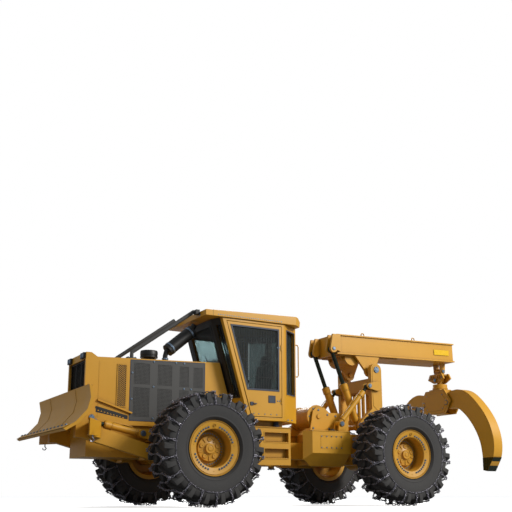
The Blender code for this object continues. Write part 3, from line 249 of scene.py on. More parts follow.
def cloth():
    """Plain-woven seat cloth over foam: 4 mm threads, drawn coarser than the real 1 mm so that they show."""
    thread = 0.004
    made = surface("woven_seat_cloth", settings().colours.cloth, 0.85, "black_paint", mottle=(0.10, 0.15),
                   grain=(0.004, 0.0006), Sheen_Weight=0.3)
    tree = made.node_tree
    place = node(tree, "ShaderNodeTexCoord").outputs["Object"]
    waves = [node(tree, "ShaderNodeTexWave", {"Vector": place, "Scale": 1 / thread / 6}, wave_type="BANDS",
                  bands_direction=way).outputs["Fac"] for way in ("X", "Z")]
    weave = node(tree, "ShaderNodeMath", {0: waves[0], 1: waves[1]}, operation="MULTIPLY").outputs[0]
    bump = node(tree, "ShaderNodeBump", {"Height": weave, "Distance": 0.001})
    tree.links.new(bump.outputs[0], tree.nodes["Principled BSDF"].inputs["Normal"])


# ---- Mesh tools ---------------------------------------------------------------------------------------
def skin(bm, rows, loop=False, caps=True):
    """Joins rows of points into a surface. A row of one point is a pole."""
    made = [[bm.verts.new(point) for point in row] for row in rows]
    pairs = list(zip(made, made[1:])) + ([(made[-1], made[0])] if loop else [])
    for low, high in pairs:
        count = max(len(low), len(high))
        for i in range(count):
            j = (i + 1) % count
            corners = [low[i % len(low)], low[j % len(low)], high[j % len(high)], high[i % len(high)]]
            unique = list(dict.fromkeys(corners))
            if len(unique) > 2:
                bm.faces.new(unique)
    if caps and not loop:
        for row in (made[0][::-1], made[-1]):
            if len(row) > 2:
                bm.faces.new(row)


def across(direction):
    """Two unit vectors square to a direction and to each other."""
    helper = Vector((0, 0, 1)) if abs(direction.z) < 0.9 else Vector((1, 0, 0))
    first = direction.cross(helper).normalized()
    return first, direction.cross(first).normalized()


def circle(centre, first, second, radius, sides, start=0.0):
    return [centre + first * (radius * cos(start + 2 * pi * i / sides))
            + second * (radius * sin(start + 2 * pi * i / sides)) for i in range(sides)]


def lathe(bm, centre, axis, profile, steps=48, loop=False):
    """Turns (radius, distance along the axis) about an axis; a radius of 0 makes a pole."""
    centre, axis = Vector(centre), Vector(axis).normalized()
    first, second = across(axis)
    rows = [circle(centre + axis * along, first, second, radius, steps) if radius > 0
            else [centre + axis * along] for radius, along in profile]
    skin(bm, rows, loop, caps=False)


def rod(bm, start, end, radius, sides=14, edge=0.0):
    start, end = Vector(start), Vector(end)
    length = (end - start).length
    edge = min(edge, radius * 0.6, length * 0.3)
    profile = [(0, 0), (radius - edge, 0), (radius, edge), (radius, length - edge), (radius - edge, length),
               (0, length)]
    if not edge:
        profile = [(0, 0), (radius, 0), (radius, length), (0, length)]
    lathe(bm, start, end - start, profile, sides)


def tube(bm, points, radius, sides=8, square=False):
    """A bar along a line of points; a square one has four sides."""
    points = [Vector(p) for p in points]
    sides = 4 if square else sides
    start = pi / 4 if square else 0.0
    heading = (points[1] - points[0]).normalized()
    first, second = across(heading)
    rows = []
    for i, point in enumerate(points):
        ahead = points[min(i + 1, len(points) - 1)] - points[max(i - 1, 0)]
        ahead.normalize()
        turn = heading.rotation_difference(ahead)
        first, second, heading = turn @ first, turn @ second, ahead
        rows.append(circle(point, first, second, radius, sides, start))
    skin(bm, rows)


def prism(bm, outline, axis, low, high):
    """Extrudes an outline of two coordinates between two limits along the third."""
    order = {"X": (2, 0, 1), "Y": (0, 2, 1), "Z": (0, 1, 2)}[axis]
    rows = [[Vector([(*point, along)[i] for i in order]) for point in outline] for along in (low, high)]
    skin(bm, rows)


def drilled(bm, outline, hole, low, high):
    """Extrudes an outline of (y, z) along X, with a hole through it."""
    loops = [[Vector((0, *point)) for point in loop] for loop in (outline, hole)]
    flat = [Vector((point.y, point.z, 0)) for loop in loops for point in loop]
    sides = tessellate_polygon([[Vector((p.y, p.z, 0)) for p in loop] for loop in loops])
    near, far = ([bm.verts.new((x, p.x, p.y)) for p in flat] for x in (low, high))
    for a, b, c in sides:
        bm.faces.new((near[a], near[b], near[c]))
        bm.faces.new((far[c], far[b], far[a]))
    start = 0
    for loop in loops:
        for i in range(len(loop)):
            a, b = start + i, start + (i + 1) % len(loop)
            bm.faces.new((near[a], near[b], far[b], far[a]))
        start += len(loop)


def flowing(points, steps=6):
    """More points on a smooth curve through the given ones."""
    points = [Vector(p) for p in points]
    made = []
    for i in range(len(points) - 1):
        before, start = points[max(i - 1, 0)], points[i]
        end, after = points[i + 1], points[min(i + 2, len(points) - 1)]
        for k in range(steps):
            t = k / steps
            made.append(0.5 * (2 * start + (end - before) * t
                               + (2 * before - 5 * start + 4 * end - after) * t * t
                               + (3 * start - before - 3 * end + after) * t ** 3))
    return [tuple(p) for p in made] + [tuple(points[-1])]


def block(bm, x, y, z):
    prism(bm, [(x[0], y[0]), (x[1], y[0]), (x[1], y[1]), (x[0], y[1])], "Z", *z)


def plate(bm, corners, thickness):
    """A flat plate on corner points, thickened by a vector."""
    shift = Vector(thickness)
    skin(bm, [[Vector(c) for c in corners], [Vector(c) + shift for c in corners]])


def ring(bm, centre, axis, radius, wire, steps=24, sides=8):
    centre, axis = Vector(centre), Vector(axis).normalized()
    first, second = across(axis)
    rows = []
    for i in range(steps):
        out = first * cos(2 * pi * i / steps) + second * sin(2 * pi * i / steps)
        rows.append(circle(centre + out * radius, out, axis, wire, sides))
    skin(bm, rows, loop=True)


def bolt(bm, place, axis, size):
    """A hexagon head on a washer, with the end of its shank showing."""
    place, axis = Vector(place), Vector(axis).normalized()
    first, second = across(axis)
    lathe(bm, place - axis * size * 0.1, axis,
          [(0, 0), (size * 0.75, 0), (size * 0.75, size * 0.2), (0, size * 0.2)], 14)
    rows = [circle(place + axis * size * up, first, second, size * 0.577 * wide, 6)
            for up, wide in ((0.08, 1.0), (0.5, 1.0), (0.6, 0.86))]
    skin(bm, rows)


def pin_cap(bm, place, axis, radius):
    """A keeper plate over a pin's end: a disc, a raised middle and three bolts."""
    place, axis = Vector(place), Vector(axis).normalized()
    lathe(bm, place, axis,
          [(0, 0), (radius, 0), (radius, 0.008), (radius - 0.004, 0.012), (radius * 0.55, 0.012),
                            (radius * 0.5, 0.018), (0, 0.018)], 24)
    first, second = across(axis)
    for spot in circle(place + axis * 0.012, first, second, radius * 0.74, 3, 0.5):
        bolt(bm, spot, axis, radius * 0.26)


def row(start, end, count):
    """Evenly spaced points from start to end."""
    start, end = Vector(start), Vector(end)
    return [start.lerp(end, i / (count - 1)) for i in range(count)]


def soften(obj, edge):
    """Rounds edges and shades the faces between them flat. Seams of imported meshes are joined first."""
    mesh = obj.data
    custom = mesh.attributes.get("custom_normal")
    if custom:
        mesh.attributes.remove(custom)
    mesh.shade_smooth()
    if not edge:
        mesh.set_sharp_from_angle(angle=radians(38))
        return obj
    weld = obj.modifiers.new("Weld", "WELD")
    weld.merge_threshold = 2e-5
    flat = obj.modifiers.new("Flat", "DECIMATE")
    flat.decimate_type = "DISSOLVE"
    flat.angle_limit = radians(0.4)
    bevel = obj.modifiers.new("Edge", "BEVEL")
    bevel.width = edge
    bevel.segments = 2
    bevel.limit_method = "ANGLE"
    bevel.angle_limit = radians(38)
    bevel.use_clamp_overlap = True
    bevel.miter_outer = "MITER_ARC"
    shade = obj.modifiers.new("Shade", "WEIGHTED_NORMAL")
    shade.keep_sharp = True
    return obj


def add_object(name, mesh, material, body, place=None, replaces=()):
    mesh.materials.clear()
    mesh.materials.append(MATERIALS[material])
    obj = bpy.data.objects.new(name, mesh)
    bpy.context.scene.collection.objects.link(obj)
    if place is not None:
        obj.matrix_world = place
    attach(obj, body)
    if replaces:
        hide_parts(*replaces)
    return obj


def piece(name, bm, material, body, edge=0.0, replaces=()):
    """Makes a piece from a mesh drawn from the steering pivot."""
    bmesh.ops.translate(bm, verts=bm.verts, vec=(PIVOT_X, 0, 0))
    bmesh.ops.recalc_face_normals(bm, faces=bm.faces)
    mesh = bpy.data.meshes.new(name)
    bm.to_mesh(mesh)
    bm.free()
    return soften(add_object(name, mesh, material, body, replaces=replaces), edge)


# ---- Wheels -------------------------------------------------------------------------------------------
TREAD_HALF = 0.325


def tyre_mesh():
    """A carcass with its sidewalls, then lugs that run from each shoulder towards the middle."""
    w = settings().wheels
    half = [(0.387, 0.272), (0.436, 0.280), (0.446, 0.296), (0.47, 0.322), (0.476, 0.331), (0.49, 0.334),
            (0.50, 0.329), (0.56, 0.340), (0.63, 0.344), (0.69, 0.342), (0.745, 0.335), (0.78, 0.318),
            (w.carcass, 0.28), (w.carcass + 0.012, 0.15), (w.carcass + 0.015, 0.0)]
    profile = half + [(r, -y) for r, y in reversed(half[:-1])]
    bm = bmesh.new()
    lathe(bm, (0, 0, 0), (0, 1, 0), profile, 96, loop=True)
    # distance from the middle, radius at the foot and at the top, width at the foot and at the top,
    # lead in degrees
    sections = ((0.345, 0.69, 0.70, 0.085, 0.060, 0.0), (0.352, 0.76, 0.79, 0.095, 0.070, 0.3),
                (0.336, 0.775, w.lug_top - 0.008, 0.105, 0.082, 0.8),
                (0.24, 0.78, w.lug_top, 0.098, 0.074, 5.5),
                (0.12, 0.79, w.lug_top, 0.088, 0.066, 12.5),
                (-0.015, 0.79, w.lug_top - 0.004, 0.082, 0.060, 19.0))
    for side in (1, -1):
        for i in range(w.lugs):
            angle = 2 * pi * (i + (0.5 if side < 0 else 0.0)) / w.lugs
            rows = []
            for y, foot, top, wide_foot, wide_top, lead in sections:
                at = angle + radians(lead)
                loop = []
                for radius, wide, sign in ((foot, wide_foot, -1), (foot, wide_foot, 1), (top, wide_top, 1),
                                           (top, wide_top, -1)):
                    turn = at + sign * wide / 2 / radius
                    # the two outermost sections stand out of the sidewall instead of out of the tread
                    out = y if radius == top or y < 0.33 else y - 0.03
                    loop.append(Vector((radius * cos(turn), side * out, radius * sin(turn))))
                rows.append(loop)
            skin(bm, rows)
    bmesh.ops.recalc_face_normals(bm, faces=bm.faces)
    mesh = bpy.data.meshes.new("chained_tyre")
    bm.to_mesh(mesh)
    bm.free()
    return mesh


def oval(length, width, wire, steps=10, sides=5):
    """Points and faces of one chain link, long along X, flat in the XY plane."""
    turn = np.linspace(0, 2 * pi, steps, endpoint=False)
    round_wire = np.linspace(0, 2 * pi, sides, endpoint=False)
    out = np.stack([np.cos(turn), np.sin(turn), np.zeros(steps)], 1)
    centre = out * [length / 2 - wire, width / 2 - wire, 0]
    up = np.array([0, 0, 1.0])
    points = (centre[:, None] + wire * (np.cos(round_wire)[None, :, None] * out[:, None]
                                        + np.sin(round_wire)[None, :, None] * up)).reshape(-1, 3)
    faces = [(i * sides + j, i * sides + (j + 1) % sides, (i + 1) % steps * sides + (j + 1) % sides,
              (i + 1) % steps * sides + j) for i in range(steps) for j in range(sides)]
    return points, np.array(faces)


def spike(wide, tall):
    """A four-sided calk that stands up along Z."""
    corners = [(x, y) for x, y in ((-1, -1), (1, -1), (1, 1), (-1, 1))]
    points = [(x * wide / 2, y * wide / 2, -0.004) for x,
              y in corners] + [(x * wide / 4, y * wide / 4, tall) for x, y in corners]
    faces = [(0, 3, 2, 1), (4, 5, 6, 7), (0, 1, 5, 4), (1, 2, 6, 5), (2, 3, 7, 6), (3, 0, 4, 7)]
    return np.array(points), np.array(faces)


def on_wheel(angle, y, radius):
    return np.array([radius * cos(angle), y, radius * sin(angle)])


def strand(stations, length, skip_first=0.0, skip_last=0.0):
    """Places for links along a line of (angle, y, radius) stations: origin, direction, way out."""
    points = np.array([on_wheel(*s) for s in stations])
    steps = np.linalg.norm(np.diff(points, axis=0), axis=1)
    marks = np.concatenate([[0], np.cumsum(steps)])
    usable = marks[-1] - skip_first - skip_last
    count = max(1, round(usable / length))
    places = []
    for i in range(count):
        at = skip_first + usable * (i + 0.5) / count
        k = min(np.searchsorted(marks, at) - 1, len(steps) - 1)
        share = (at - marks[k]) / steps[k]
        origin = points[k] + (points[k + 1] - points[k]) * share
        along = (points[k + 1] - points[k]) / steps[k]
        out = origin * [1, 0, 1]
        out /= np.linalg.norm(out)
        side = abs(origin[1])
        lean = np.clip((side - 0.26) / 0.08, 0, 1)
        out = out * (1 - lean) + np.array([0, np.sign(origin[1]), 0]) * lean
        out -= along * (out @ along)
        places.append((origin, along, out / np.linalg.norm(out), usable / count))
    return places


def chain_mesh():
    """A net of links, round rings and calks over the tread, held by a fine chain round each sidewall."""
    w = settings().wheels
    shapes = []

    def put(shape, origin, along, out, flat=True):
        sideways = np.cross(out, along)
        basis = np.stack([along, sideways, out] if flat else [along, out, -sideways])
        shapes.append((shape[0] @ basis + origin, shape[1]))

    link = oval(w.link * 1.22, w.link * 0.66, w.wire)
    side_link = oval(0.047, 0.024, 0.0042, 8, 4)
    big_ring = oval(w.ring * 2, w.ring * 2, 0.0082, 14, 5)
    calk = spike(0.012, 0.017)
    top = 0.874
    shoulder_y, side_y = 0.285, 0.349
    step = 2 * pi / w.lugs
    for side in (1, -1):
        offset = (0.0 if side > 0 else 0.5) * step + 0.42 * step
        count = int(2 * pi * w.side_ring / 0.037)
        for i in range(count):
            angle = 2 * pi * i / count
            origin = on_wheel(angle, side * side_y, w.side_ring)
            along = np.array([-sin(angle), 0, cos(angle)])
            put(side_link, origin, along, np.array([0, side, 0.0]), i % 2 == 0)
        for i in range(w.lugs):
            angle = i * step + offset
            centre_angles = (angle + 0.25 * step, angle - 0.25 * step)
            wall = strand([(angle, side * side_y, w.side_ring), (angle, side * 0.349, 0.76),
                           (angle, side * 0.345, 0.82), (angle, side * 0.322, 0.858),
                           (angle, side * shoulder_y, top)], w.link, 0.0, w.ring)
            nets = [strand([(angle, side * shoulder_y, top), (angle + way * 0.25 * step, side * 0.14, top),
                            (centre_angles[0 if way > 0 else 1], 0.0, top)], w.link, w.ring, w.ring * 0.8)
                    for way in (1, -1)]
            for places in (wall, *nets):
                for k, (origin, along, out, _) in enumerate(places):
                    flat = k % 2 == 0
                    put(link, origin, along, out, flat)
                    if places is not wall and flat:
                        for end in (-0.5, 0.5):
                            put(calk, origin + along * end * w.link + out * 0.004, along, out)
            radial = on_wheel(angle, 0, 1.0)
            put(big_ring, on_wheel(angle, side * (shoulder_y + 0.008), top - 0.004),
                np.array([-sin(angle), 0, cos(angle)]), radial)
            for k in range(4):
                turn = pi / 4 + k * pi / 2
                spot = (np.array([-sin(angle), 0, cos(angle)]) * cos(turn)
                        + np.array([0, 1.0, 0]) * sin(turn)) * (w.ring - 0.008)
                put(calk, on_wheel(angle, side * (shoulder_y + 0.008), top) + spot, np.array([0, 1.0, 0]),
                    radial)
    points, faces, start = [], [], 0
    for shape_points, shape_faces in shapes:
        points.append(shape_points)
        faces.extend((shape_faces + start).tolist())
        start += len(shape_points)
    mesh = bpy.data.meshes.new("tyre_chain")
    mesh.from_pydata(np.concatenate(points).tolist(), [], faces)
    mesh.validate()
    mesh.shade_smooth()
    return mesh


RIM_PROFILE = [(0.0, 0.150), (0.030, 0.150), (0.036, 0.144), (0.048, 0.142), (0.054, 0.148), (0.074, 0.148),
               (0.080, 0.140), (0.080, 0.118), (0.092, 0.112), (0.192, 0.104), (0.198, 0.096), (0.202, 0.050),
               (0.214, 0.046), (0.272, 0.044), (0.278, 0.040), (0.282, 0.028), (0.289, 0.030), (0.293, 0.050),
               (0.297, 0.262), (0.303, 0.270), (0.316, 0.273), (0.400, 0.290), (0.404, 0.284), (0.417, 0.284),
               (0.421, 0.296), (0.426, 0.300), (0.430, 0.297), (0.430, 0.283), (0.386, 0.276),
               (0.386, -0.276),
               (0.430, -0.283), (0.430, -0.298), (0.420, -0.300), (0.360, -0.285), (0.34, -0.20),
               (0.30, -0.008),
               (0.0, -0.008)]


def rim_mesh():
    """Deep-dished rim with a planetary hub cover: bosses, ribs, a valve well and drain notches."""
    bm = bmesh.new()
    lathe(bm, (0, 0, 0), (0, 1, 0), RIM_PROFILE, 96)
    for i in range(5):
        angle = radians(90 + 72 * i)
        centre = Vector((0.142 * cos(angle), 0.104, 0.142 * sin(angle)))
        lathe(bm, centre, (0, 1, 0),
              [(0, -0.01), (0.034, -0.01), (0.034, 0.012), (0.029, 0.018), (0.014, 0.018),
                                      (0.012, 0.014), (0, 0.014)], 24)
        turn = angle + radians(36)
        start, end = (Vector((r * cos(turn), 0.112, r * sin(turn))) for r in (0.118, 0.185))
        tube(bm, [start, end], 0.010, square=True)
    well = Vector((0, 0.272, 0.352))
    lathe(bm, well, (0, 1, 0), [(0, -0.01), (0.026, -0.01), (0.026, 0.016), (0.021, 0.020), (0.017, 0.016),
                                (0.016, 0.004), (0, 0.004)], 24)
    for angle in (radians(8), radians(172), radians(270)):
        centre = Vector((0.352 * cos(angle), 0.281, 0.352 * sin(angle)))
        lathe(bm, centre, (0, 1, 0), [(0, -0.01), (0.007, -0.01), (0.007, 0.004), (0, 0.004)], 12)
    bmesh.ops.recalc_face_normals(bm, faces=bm.faces)
    mesh = bpy.data.meshes.new("dished_rim")
    bm.to_mesh(mesh)
    bm.free()
    mesh.shade_smooth()
    mesh.set_sharp_from_angle(angle=radians(32))
    return mesh


def stud_mesh():
    """Nuts on the rim in four arcs, and a full ring of smaller ones at the bottom of the dish."""
    w = settings().wheels
    bm = bmesh.new()
    for quarter in range(4):
        for i in range(8):
            angle = radians(90 * quarter + 17 + i * 8)
            place = Vector((0.334 * cos(angle), 0.277, 0.334 * sin(angle)))
            bolt(bm, place, (0, 1, 0), w.stud)
            lathe(bm, place, (0, 1, 0), [(0, 0), (w.stud * 0.3, 0), (w.stud * 0.3, w.stud), (0, w.stud)], 8)
    for i in range(36):
        angle = radians(10 * i)
        bolt(bm, Vector((0.243 * cos(angle), 0.046, 0.243 * sin(angle))), (0, 1, 0), w.stud * 0.75)
    bmesh.ops.recalc_face_normals(bm, faces=bm.faces)
    mesh = bpy.data.meshes.new("wheel_studs")
    bm.to_mesh(mesh)
    bm.free()
    mesh.shade_smooth()
    mesh.set_sharp_from_angle(angle=radians(32))
    return mesh


def corners():
    """Every wheel's name, body and placement; the right ones are turned about to face outwards."""
    for end in ("front", "rear"):
        for name, side in SIDES:
            place = Matrix.Translation(middle(f"tyre_{end}_{name}"))
            if side < 0:
                place = place @ Matrix.Rotation(pi, 4, "Z")
            yield f"{end}_{name}", place


class SKIDDER_OT_tyres(Operator):
    """Lugged forestry tyres in place of their plain envelopes"""

    bl_idname = "skidder.tyres"
    bl_label = "Tyres"

    def execute(self, context):
        mesh = tyre_mesh()
        for corner, place in corners():
            made = add_object(f"lugged_tyre_{corner}", mesh.copy(), "moulded_tyre_rubber", f"wheel_{corner}",
                              place, [f"tyre_{corner}"])
            soften(made, 0.004)
        return {"FINISHED"}


class SKIDDER_OT_tyre_chains(Operator):
    """Ring-and-link traction chains over the tyres"""

    bl_idname = "skidder.tyre_chains"
    bl_label = "Tyre chains"

    def execute(self, context):
        mesh = chain_mesh()
        for corner, place in corners():
            add_object(f"tyre_chain_{corner}", mesh.copy(), "forged_chain_steel", f"wheel_{corner}", place)
        return {"FINISHED"}


class SKIDDER_OT_rims(Operator):
    """Dished rims with planetary hub covers and their studs"""

    bl_idname = "skidder.rims"
    bl_label = "Rims"

    def execute(self, context):
        rim, studs = rim_mesh(), stud_mesh()
        for corner, place in corners():
            add_object(f"dished_rim_{corner}", rim.copy(), "sprayed_enamel", f"wheel_{corner}", place,
                       [f"rim_{corner}"])
            add_object(f"wheel_studs_{corner}", studs.copy(), "zinc_plate", f"wheel_{corner}", place)
        return {"FINISHED"}


# ---- Screens and frames -------------------------------------------------------------------------------
def inset(corners, width):
    """A flat convex outline drawn in by a width; a negative width makes it larger."""
    made = []
    for i, corner in enumerate(corners):
        to_next = (corners[(i + 1) % len(corners)] - corner).normalized()
        to_last = (corners[i - 1] - corner).normalized()
        made.append(corner + (to_next + to_last) * (width / sin(to_next.angle(to_last))))
    return made


def strip(bm, corners, width, thickness):
    """A flat frame along the inside of an outline, thickened by a vector."""
    corners, thickness = [Vector(c) for c in corners], Vector(thickness)
    inner = inset(corners, width)
    skin(bm, [corners, [c + thickness for c in corners], [c + thickness for c in inner], inner], loop=True)


def cross_lines(outline, angle, pitch):
    """Parallel lines across a convex outline of (x, y): pairs of points where they meet it."""
    heights = [y * cos(angle) - x * sin(angle) for x, y in outline]
    at = (ceil(min(heights) / pitch) + 0.01) * pitch
    while at < max(heights):
        hits = []
        for i, (x, y) in enumerate(outline):
            next_x, next_y = outline[(i + 1) % len(outline)]
            low, high = heights[i], heights[(i + 1) % len(outline)]
            if (low - at) * (high - at) < 0:
                share = (at - low) / (high - low)
                hits.append((x + (next_x - x) * share, y + (next_y - y) * share))
        if len(hits) == 2:
            yield hits
        at += pitch


def screen(bm, corners, angles, pitch, wire):
    """Straight wires across a flat outline, each set at its own angle to the first edge."""
    corners = [Vector(c) for c in corners]
    along = (corners[1] - corners[0]).normalized()
    normal = along.cross(corners[-1] - corners[0]).normalized()
    up = normal.cross(along)
    outline = [((c - corners[0]).dot(along), (c - corners[0]).dot(up)) for c in corners]
    for layer, angle in enumerate(angles):
        lift = normal * (wire * 1.4 * layer)
        for line in cross_lines(outline, radians(angle), pitch):
            ends = [corners[0] + along * x + up * y + lift for x, y in line]
            if (ends[1] - ends[0]).length > pitch / 2:
                tube(bm, ends, wire, square=True)


# ---- Hood and engine bay ------------------------------------------------------------------------------
HOOD_SIDE, HOOD_FRONT = 0.47, 3.69
FIELDS = ((1.63, 1.81), (1.89, 2.066), (2.19, 2.47), (2.595, 2.882))   # perforated columns, from the rear
ROWS = ((1.43, 1.92), (1.96, 2.33))                                    # perforated rows, from the bottom


def hood_top(x):
    return 2.36 + 0.08 * (HOOD_FRONT - x) / 2.38


def cell_lines(spans, ends, pitch, hole):
    """Grid lines for rows of holes, and which of the gaps between them are holes."""
    lines, holes = [ends[0]], []
    for low, high in spans:
        count = int((high - low) / pitch)
        start = (low + high - count * pitch) / 2
        for i in range(count):
            left = start + pitch * (i + 0.5) - hole / 2
            lines += [left, left + hole]
            holes += [False, True]
    return lines + [ends[1]], holes + [False]


def perforated(name, side, body, replaces):
    """An engine panel as one sheet with square holes, closed all round every hole."""
    f = settings().fittings
    xs, x_holes = cell_lines(FIELDS, (1.6005, 2.9295), f.pitch, f.hole)
    zs, z_holes = cell_lines(ROWS, (1.3805, 2.333), f.pitch, f.hole)
    faces_y = (side * (HOOD_SIDE + 0.001), side * (HOOD_SIDE + 0.0045))
    wide, count = len(xs), len(xs) * len(zs)
    points = []
    for y in faces_y:
        for j, z in enumerate(zs):
            points += [(x, y, z if j < len(zs) - 1 else hood_top(x) - 0.031) for x in xs]
    faces = []
    solid = {(i, j) for i in range(wide - 1) for j in range(len(zs) - 1) if not (x_holes[i] and z_holes[j])}
    for i, j in solid:
        a, b, c, d = (j * wide + i, j * wide + i + 1, (j + 1) * wide + i + 1, (j + 1) * wide + i)
        faces += [(a, b, c, d), (a + count, d + count, c + count, b + count)]
        for other, (p, q) in (((i, j - 1), (b, a)), ((i + 1, j), (c, b)), ((i, j + 1), (d, c)),
                              ((i - 1, j), (a, d))):
            if other not in solid:
                faces.append((p, q, q + count, p + count))
    mesh = bpy.data.meshes.new(name)
    mesh.from_pydata(points, [], faces)
    bm = bmesh.new()
    bm.from_mesh(mesh)
    return piece(name, bm, "powder_coat_grey", body, replaces=replaces)


class SKIDDER_OT_hood(Operator):
    """Perforated engine panels, louvres, grille, seals, lamps, intake cap and exhaust clamps"""

    bl_idname = "skidder.hood"
    bl_label = "Hood"

    def execute(self, context):
        f = settings().fittings
        seals, dark, bolts = bmesh.new(), bmesh.new(), bmesh.new()
        yellow, slats = bmesh.new(), bmesh.new()
        for name, side in SIDES:
            perforated(f"perforated_panel_{name}", side, "front", [f"engine_panel_{name}"])
            skin_y = side * HOOD_SIDE
            # lining behind the perforations, seals round the panel and its bolts
            plate(dark, [(1.606, skin_y - side * 0.03, 1.386), (2.924, skin_y - side * 0.03, 1.386),
                         (2.924, skin_y - side * 0.03, 2.34), (1.606, skin_y - side * 0.03, 2.38)],
                  (0, side * 0.012, 0))
            edge = [(1.588, skin_y, 1.366), (2.942, skin_y, 1.366), (2.942, skin_y, hood_top(2.93) - 0.02),
                    (1.588, skin_y, hood_top(1.6) - 0.02)]
            strip(seals, edge, 0.014, (0, side * 0.006, 0))
            for x, z in ((2.53, 2.36), (2.53, 1.94), (2.53, 1.42), (1.98, 2.37), (1.98, 1.94), (2.906, 2.15),
                         (2.906, 1.72), (2.13, 2.37), (1.85, 1.94), (2.13, 1.42)):
                bolt(bolts, (x, side * (HOOD_SIDE + 0.006), z), (0, side, 0), f.bolt * 0.8)
            # expanded-metal vent ahead of the panel
            vent = [(3.000, side * (HOOD_SIDE + 0.001), 1.58), (3.165, side * (HOOD_SIDE + 0.001), 1.58),
                    (3.165, side * (HOOD_SIDE + 0.001), 2.275), (3.000, side * (HOOD_SIDE + 0.001), 2.275)]
            plate(dark, vent, (0, side * 0.002, 0))
            lifted = [Vector(c) + Vector((0, side * 0.005, 0)) for c in vent]
            screen(slats, lifted, (35, -35), 0.026, 0.0042)
            strip(slats, vent, 0.010, (0, side * 0.010, 0))
            # sloping ledge, and the dark slot under it
            prism(yellow, [(3.475, 1.685), (3.48, 1.66), (2.90, 1.475), (2.895, 1.50)], "Y", skin_y,
                  skin_y + side * 0.035)
            prism(dark, [(3.50, 1.575), (2.96, 1.445), (2.96, 1.385), (3.52, 1.485)], "Y", skin_y,
                  skin_y + side * 0.003)
            for i in range(9):
                x = 3.02 + i * 0.052
                prism(yellow,
                      [(x, 1.397 + i * 0.012), (x + 0.02, 1.42 + i * 0.012), (x + 0.04, 1.407 + i * 0.012)],
                      "Y", skin_y, skin_y + side * 0.005)
            # lamp housing over the grille, with two lenses
            block(dark, (3.66, 3.725), sorted((side * 0.26, side * 0.44)), (2.335, 2.425))
            for y in (0.305, 0.395):
                lathe(bolts, (3.722, side * y, 2.38), (1, 0, 0),
                      [(0, 0), (0.036, 0), (0.036, 0.006), (0.030, 0.009),
                                                                   (0, 0.004)], 24)
            # riser feet: four bolts, and a work lamp near the roof
            for x, y in ((2.85, 0.37), (2.85, 0.43), (2.97, 0.37), (2.97, 0.43)):
                bolt(bolts, (x, side * y, hood_top(2.83) + 0.021), (0, 0, 1), f.bolt * 0.7)
            block(dark, (1.745, 1.815), sorted((side * 0.465, side * 0.56)), (3.24, 3.32))
            rod(dark, (1.78, side * 0.44, 3.28), (1.78, side * 0.47, 3.28), 0.012)
            # seam of the nose
            prism(yellow, [(3.46, 1.40), (3.47, 1.40), (3.47, 2.30), (3.46, 2.30)], "Y", skin_y,
                  skin_y + side * 0.003)
        # radiator grille: backing, frame and tilted slats
        block(dark, (3.630, 3.636), (-0.4195, 0.4195), (1.641, 2.319))
        strip(dark, [(3.636, -0.4195, 1.641), (3.636, 0.4195, 1.641), (3.636, 0.4195, 2.319),
                     (3.636, -0.4195, 2.319)],
              0.022, (0.020, 0, 0))
        for i in range(26):
            z = 1.668 + i * 0.025
            prism(dark, [(3.638, z + 0.010), (3.641, z + 0.012), (3.656, z + 0.001), (3.653, z - 0.001)], "Y",
                  -0.40, 0.40)
        for y in (-0.14, 0.14):
            block(dark, (3.652, 3.658), (y - 0.008, y + 0.008), (1.65, 2.31))
        piece("radiator_slats", dark, "satin_black", "front", 0.0, ["radiator_grille"])
        piece("panel_seals", seals, "seal_rubber", "front", 0.0015)
        piece("hood_bolts", bolts, "zinc_plate", "front")
        piece("hood_ledges", yellow, "sprayed_enamel", "front", 0.002)
        piece("vent_mesh", slats, "sprayed_enamel", "front")

        cap = bmesh.new()
        foot = (2.50, 0.16, 0)
        lathe(cap, foot, (0, 0, 1),
              [(0, 2.1505), (0.092, 2.1505), (0.092, 2.455), (0.140, 2.462), (0.149, 2.472),
                                     (0.149, 2.498), (0.143, 2.503), (0.143, 2.510), (0.149, 2.515),
               (0.149, 2.572),
                                     (0.140, 2.590), (0.060, 2.599), (0, 2.6)], 48)
        for i in range(24):
            turn = 2 * pi * i / 24
            spot = Vector((2.50 + 0.147 * cos(turn), 0.16 + 0.147 * sin(turn), 0))
            rod(cap, spot + Vector((0, 0, 2.474)), spot + Vector((0, 0, 2.497)), 0.0022, 6)
        piece("intake_cap", cap, "satin_black", "front", 0.0, ["air_intake"])

        clamps = bmesh.new()
        start, end = Vector((2.18, 0.20, 2.62)), Vector((1.72, 0.20, 3.01))
        for share in (0.12, 0.88):
            lathe(clamps, start.lerp(end, share), end - start,
                  [(0.109, -0.016), (0.114, -0.016), (0.114, 0.016),
                                                               (0.109, 0.016)], 40, loop=True)
            bolt(clamps, start.lerp(end, share) + Vector((0, 0.116, 0)), (0, 1, 0), 0.022)
        lathe(clamps, (2.22, 0.20, 2.47), (0, 0, 1),
              [(0.044, -0.012), (0.056, -0.012), (0.056, 0.012), (0.044, 0.012)],
              32, loop=True)
        piece("exhaust_clamps", clamps, "zinc_plate", "front")
        return {"FINISHED"}


# ---- Cab ----------------------------------------------------------------------------------------------
CAB_LOW, CAB_HALF, NOSE_HALF, CAB_LEAN = 1.45, 0.76, 0.50, 0.30
PILLAR_X, NOSE_X, POST_X, REAR_X, REAR_HALF = 0.89, 0.98, 0.16, -0.25, 0.475


def lean(x, z):
    return x + (z - CAB_LOW) * CAB_LEAN


def door_window(margin, y):
    low, high = 1.91 + margin, 3.14 - margin
    return [(POST_X + 0.06 + margin, y, low), (lean(PILLAR_X, low) - 0.07 - margin, y, low),
            (lean(PILLAR_X, high) - 0.07 - margin, y, high), (POST_X + 0.06 + margin, y, high)]


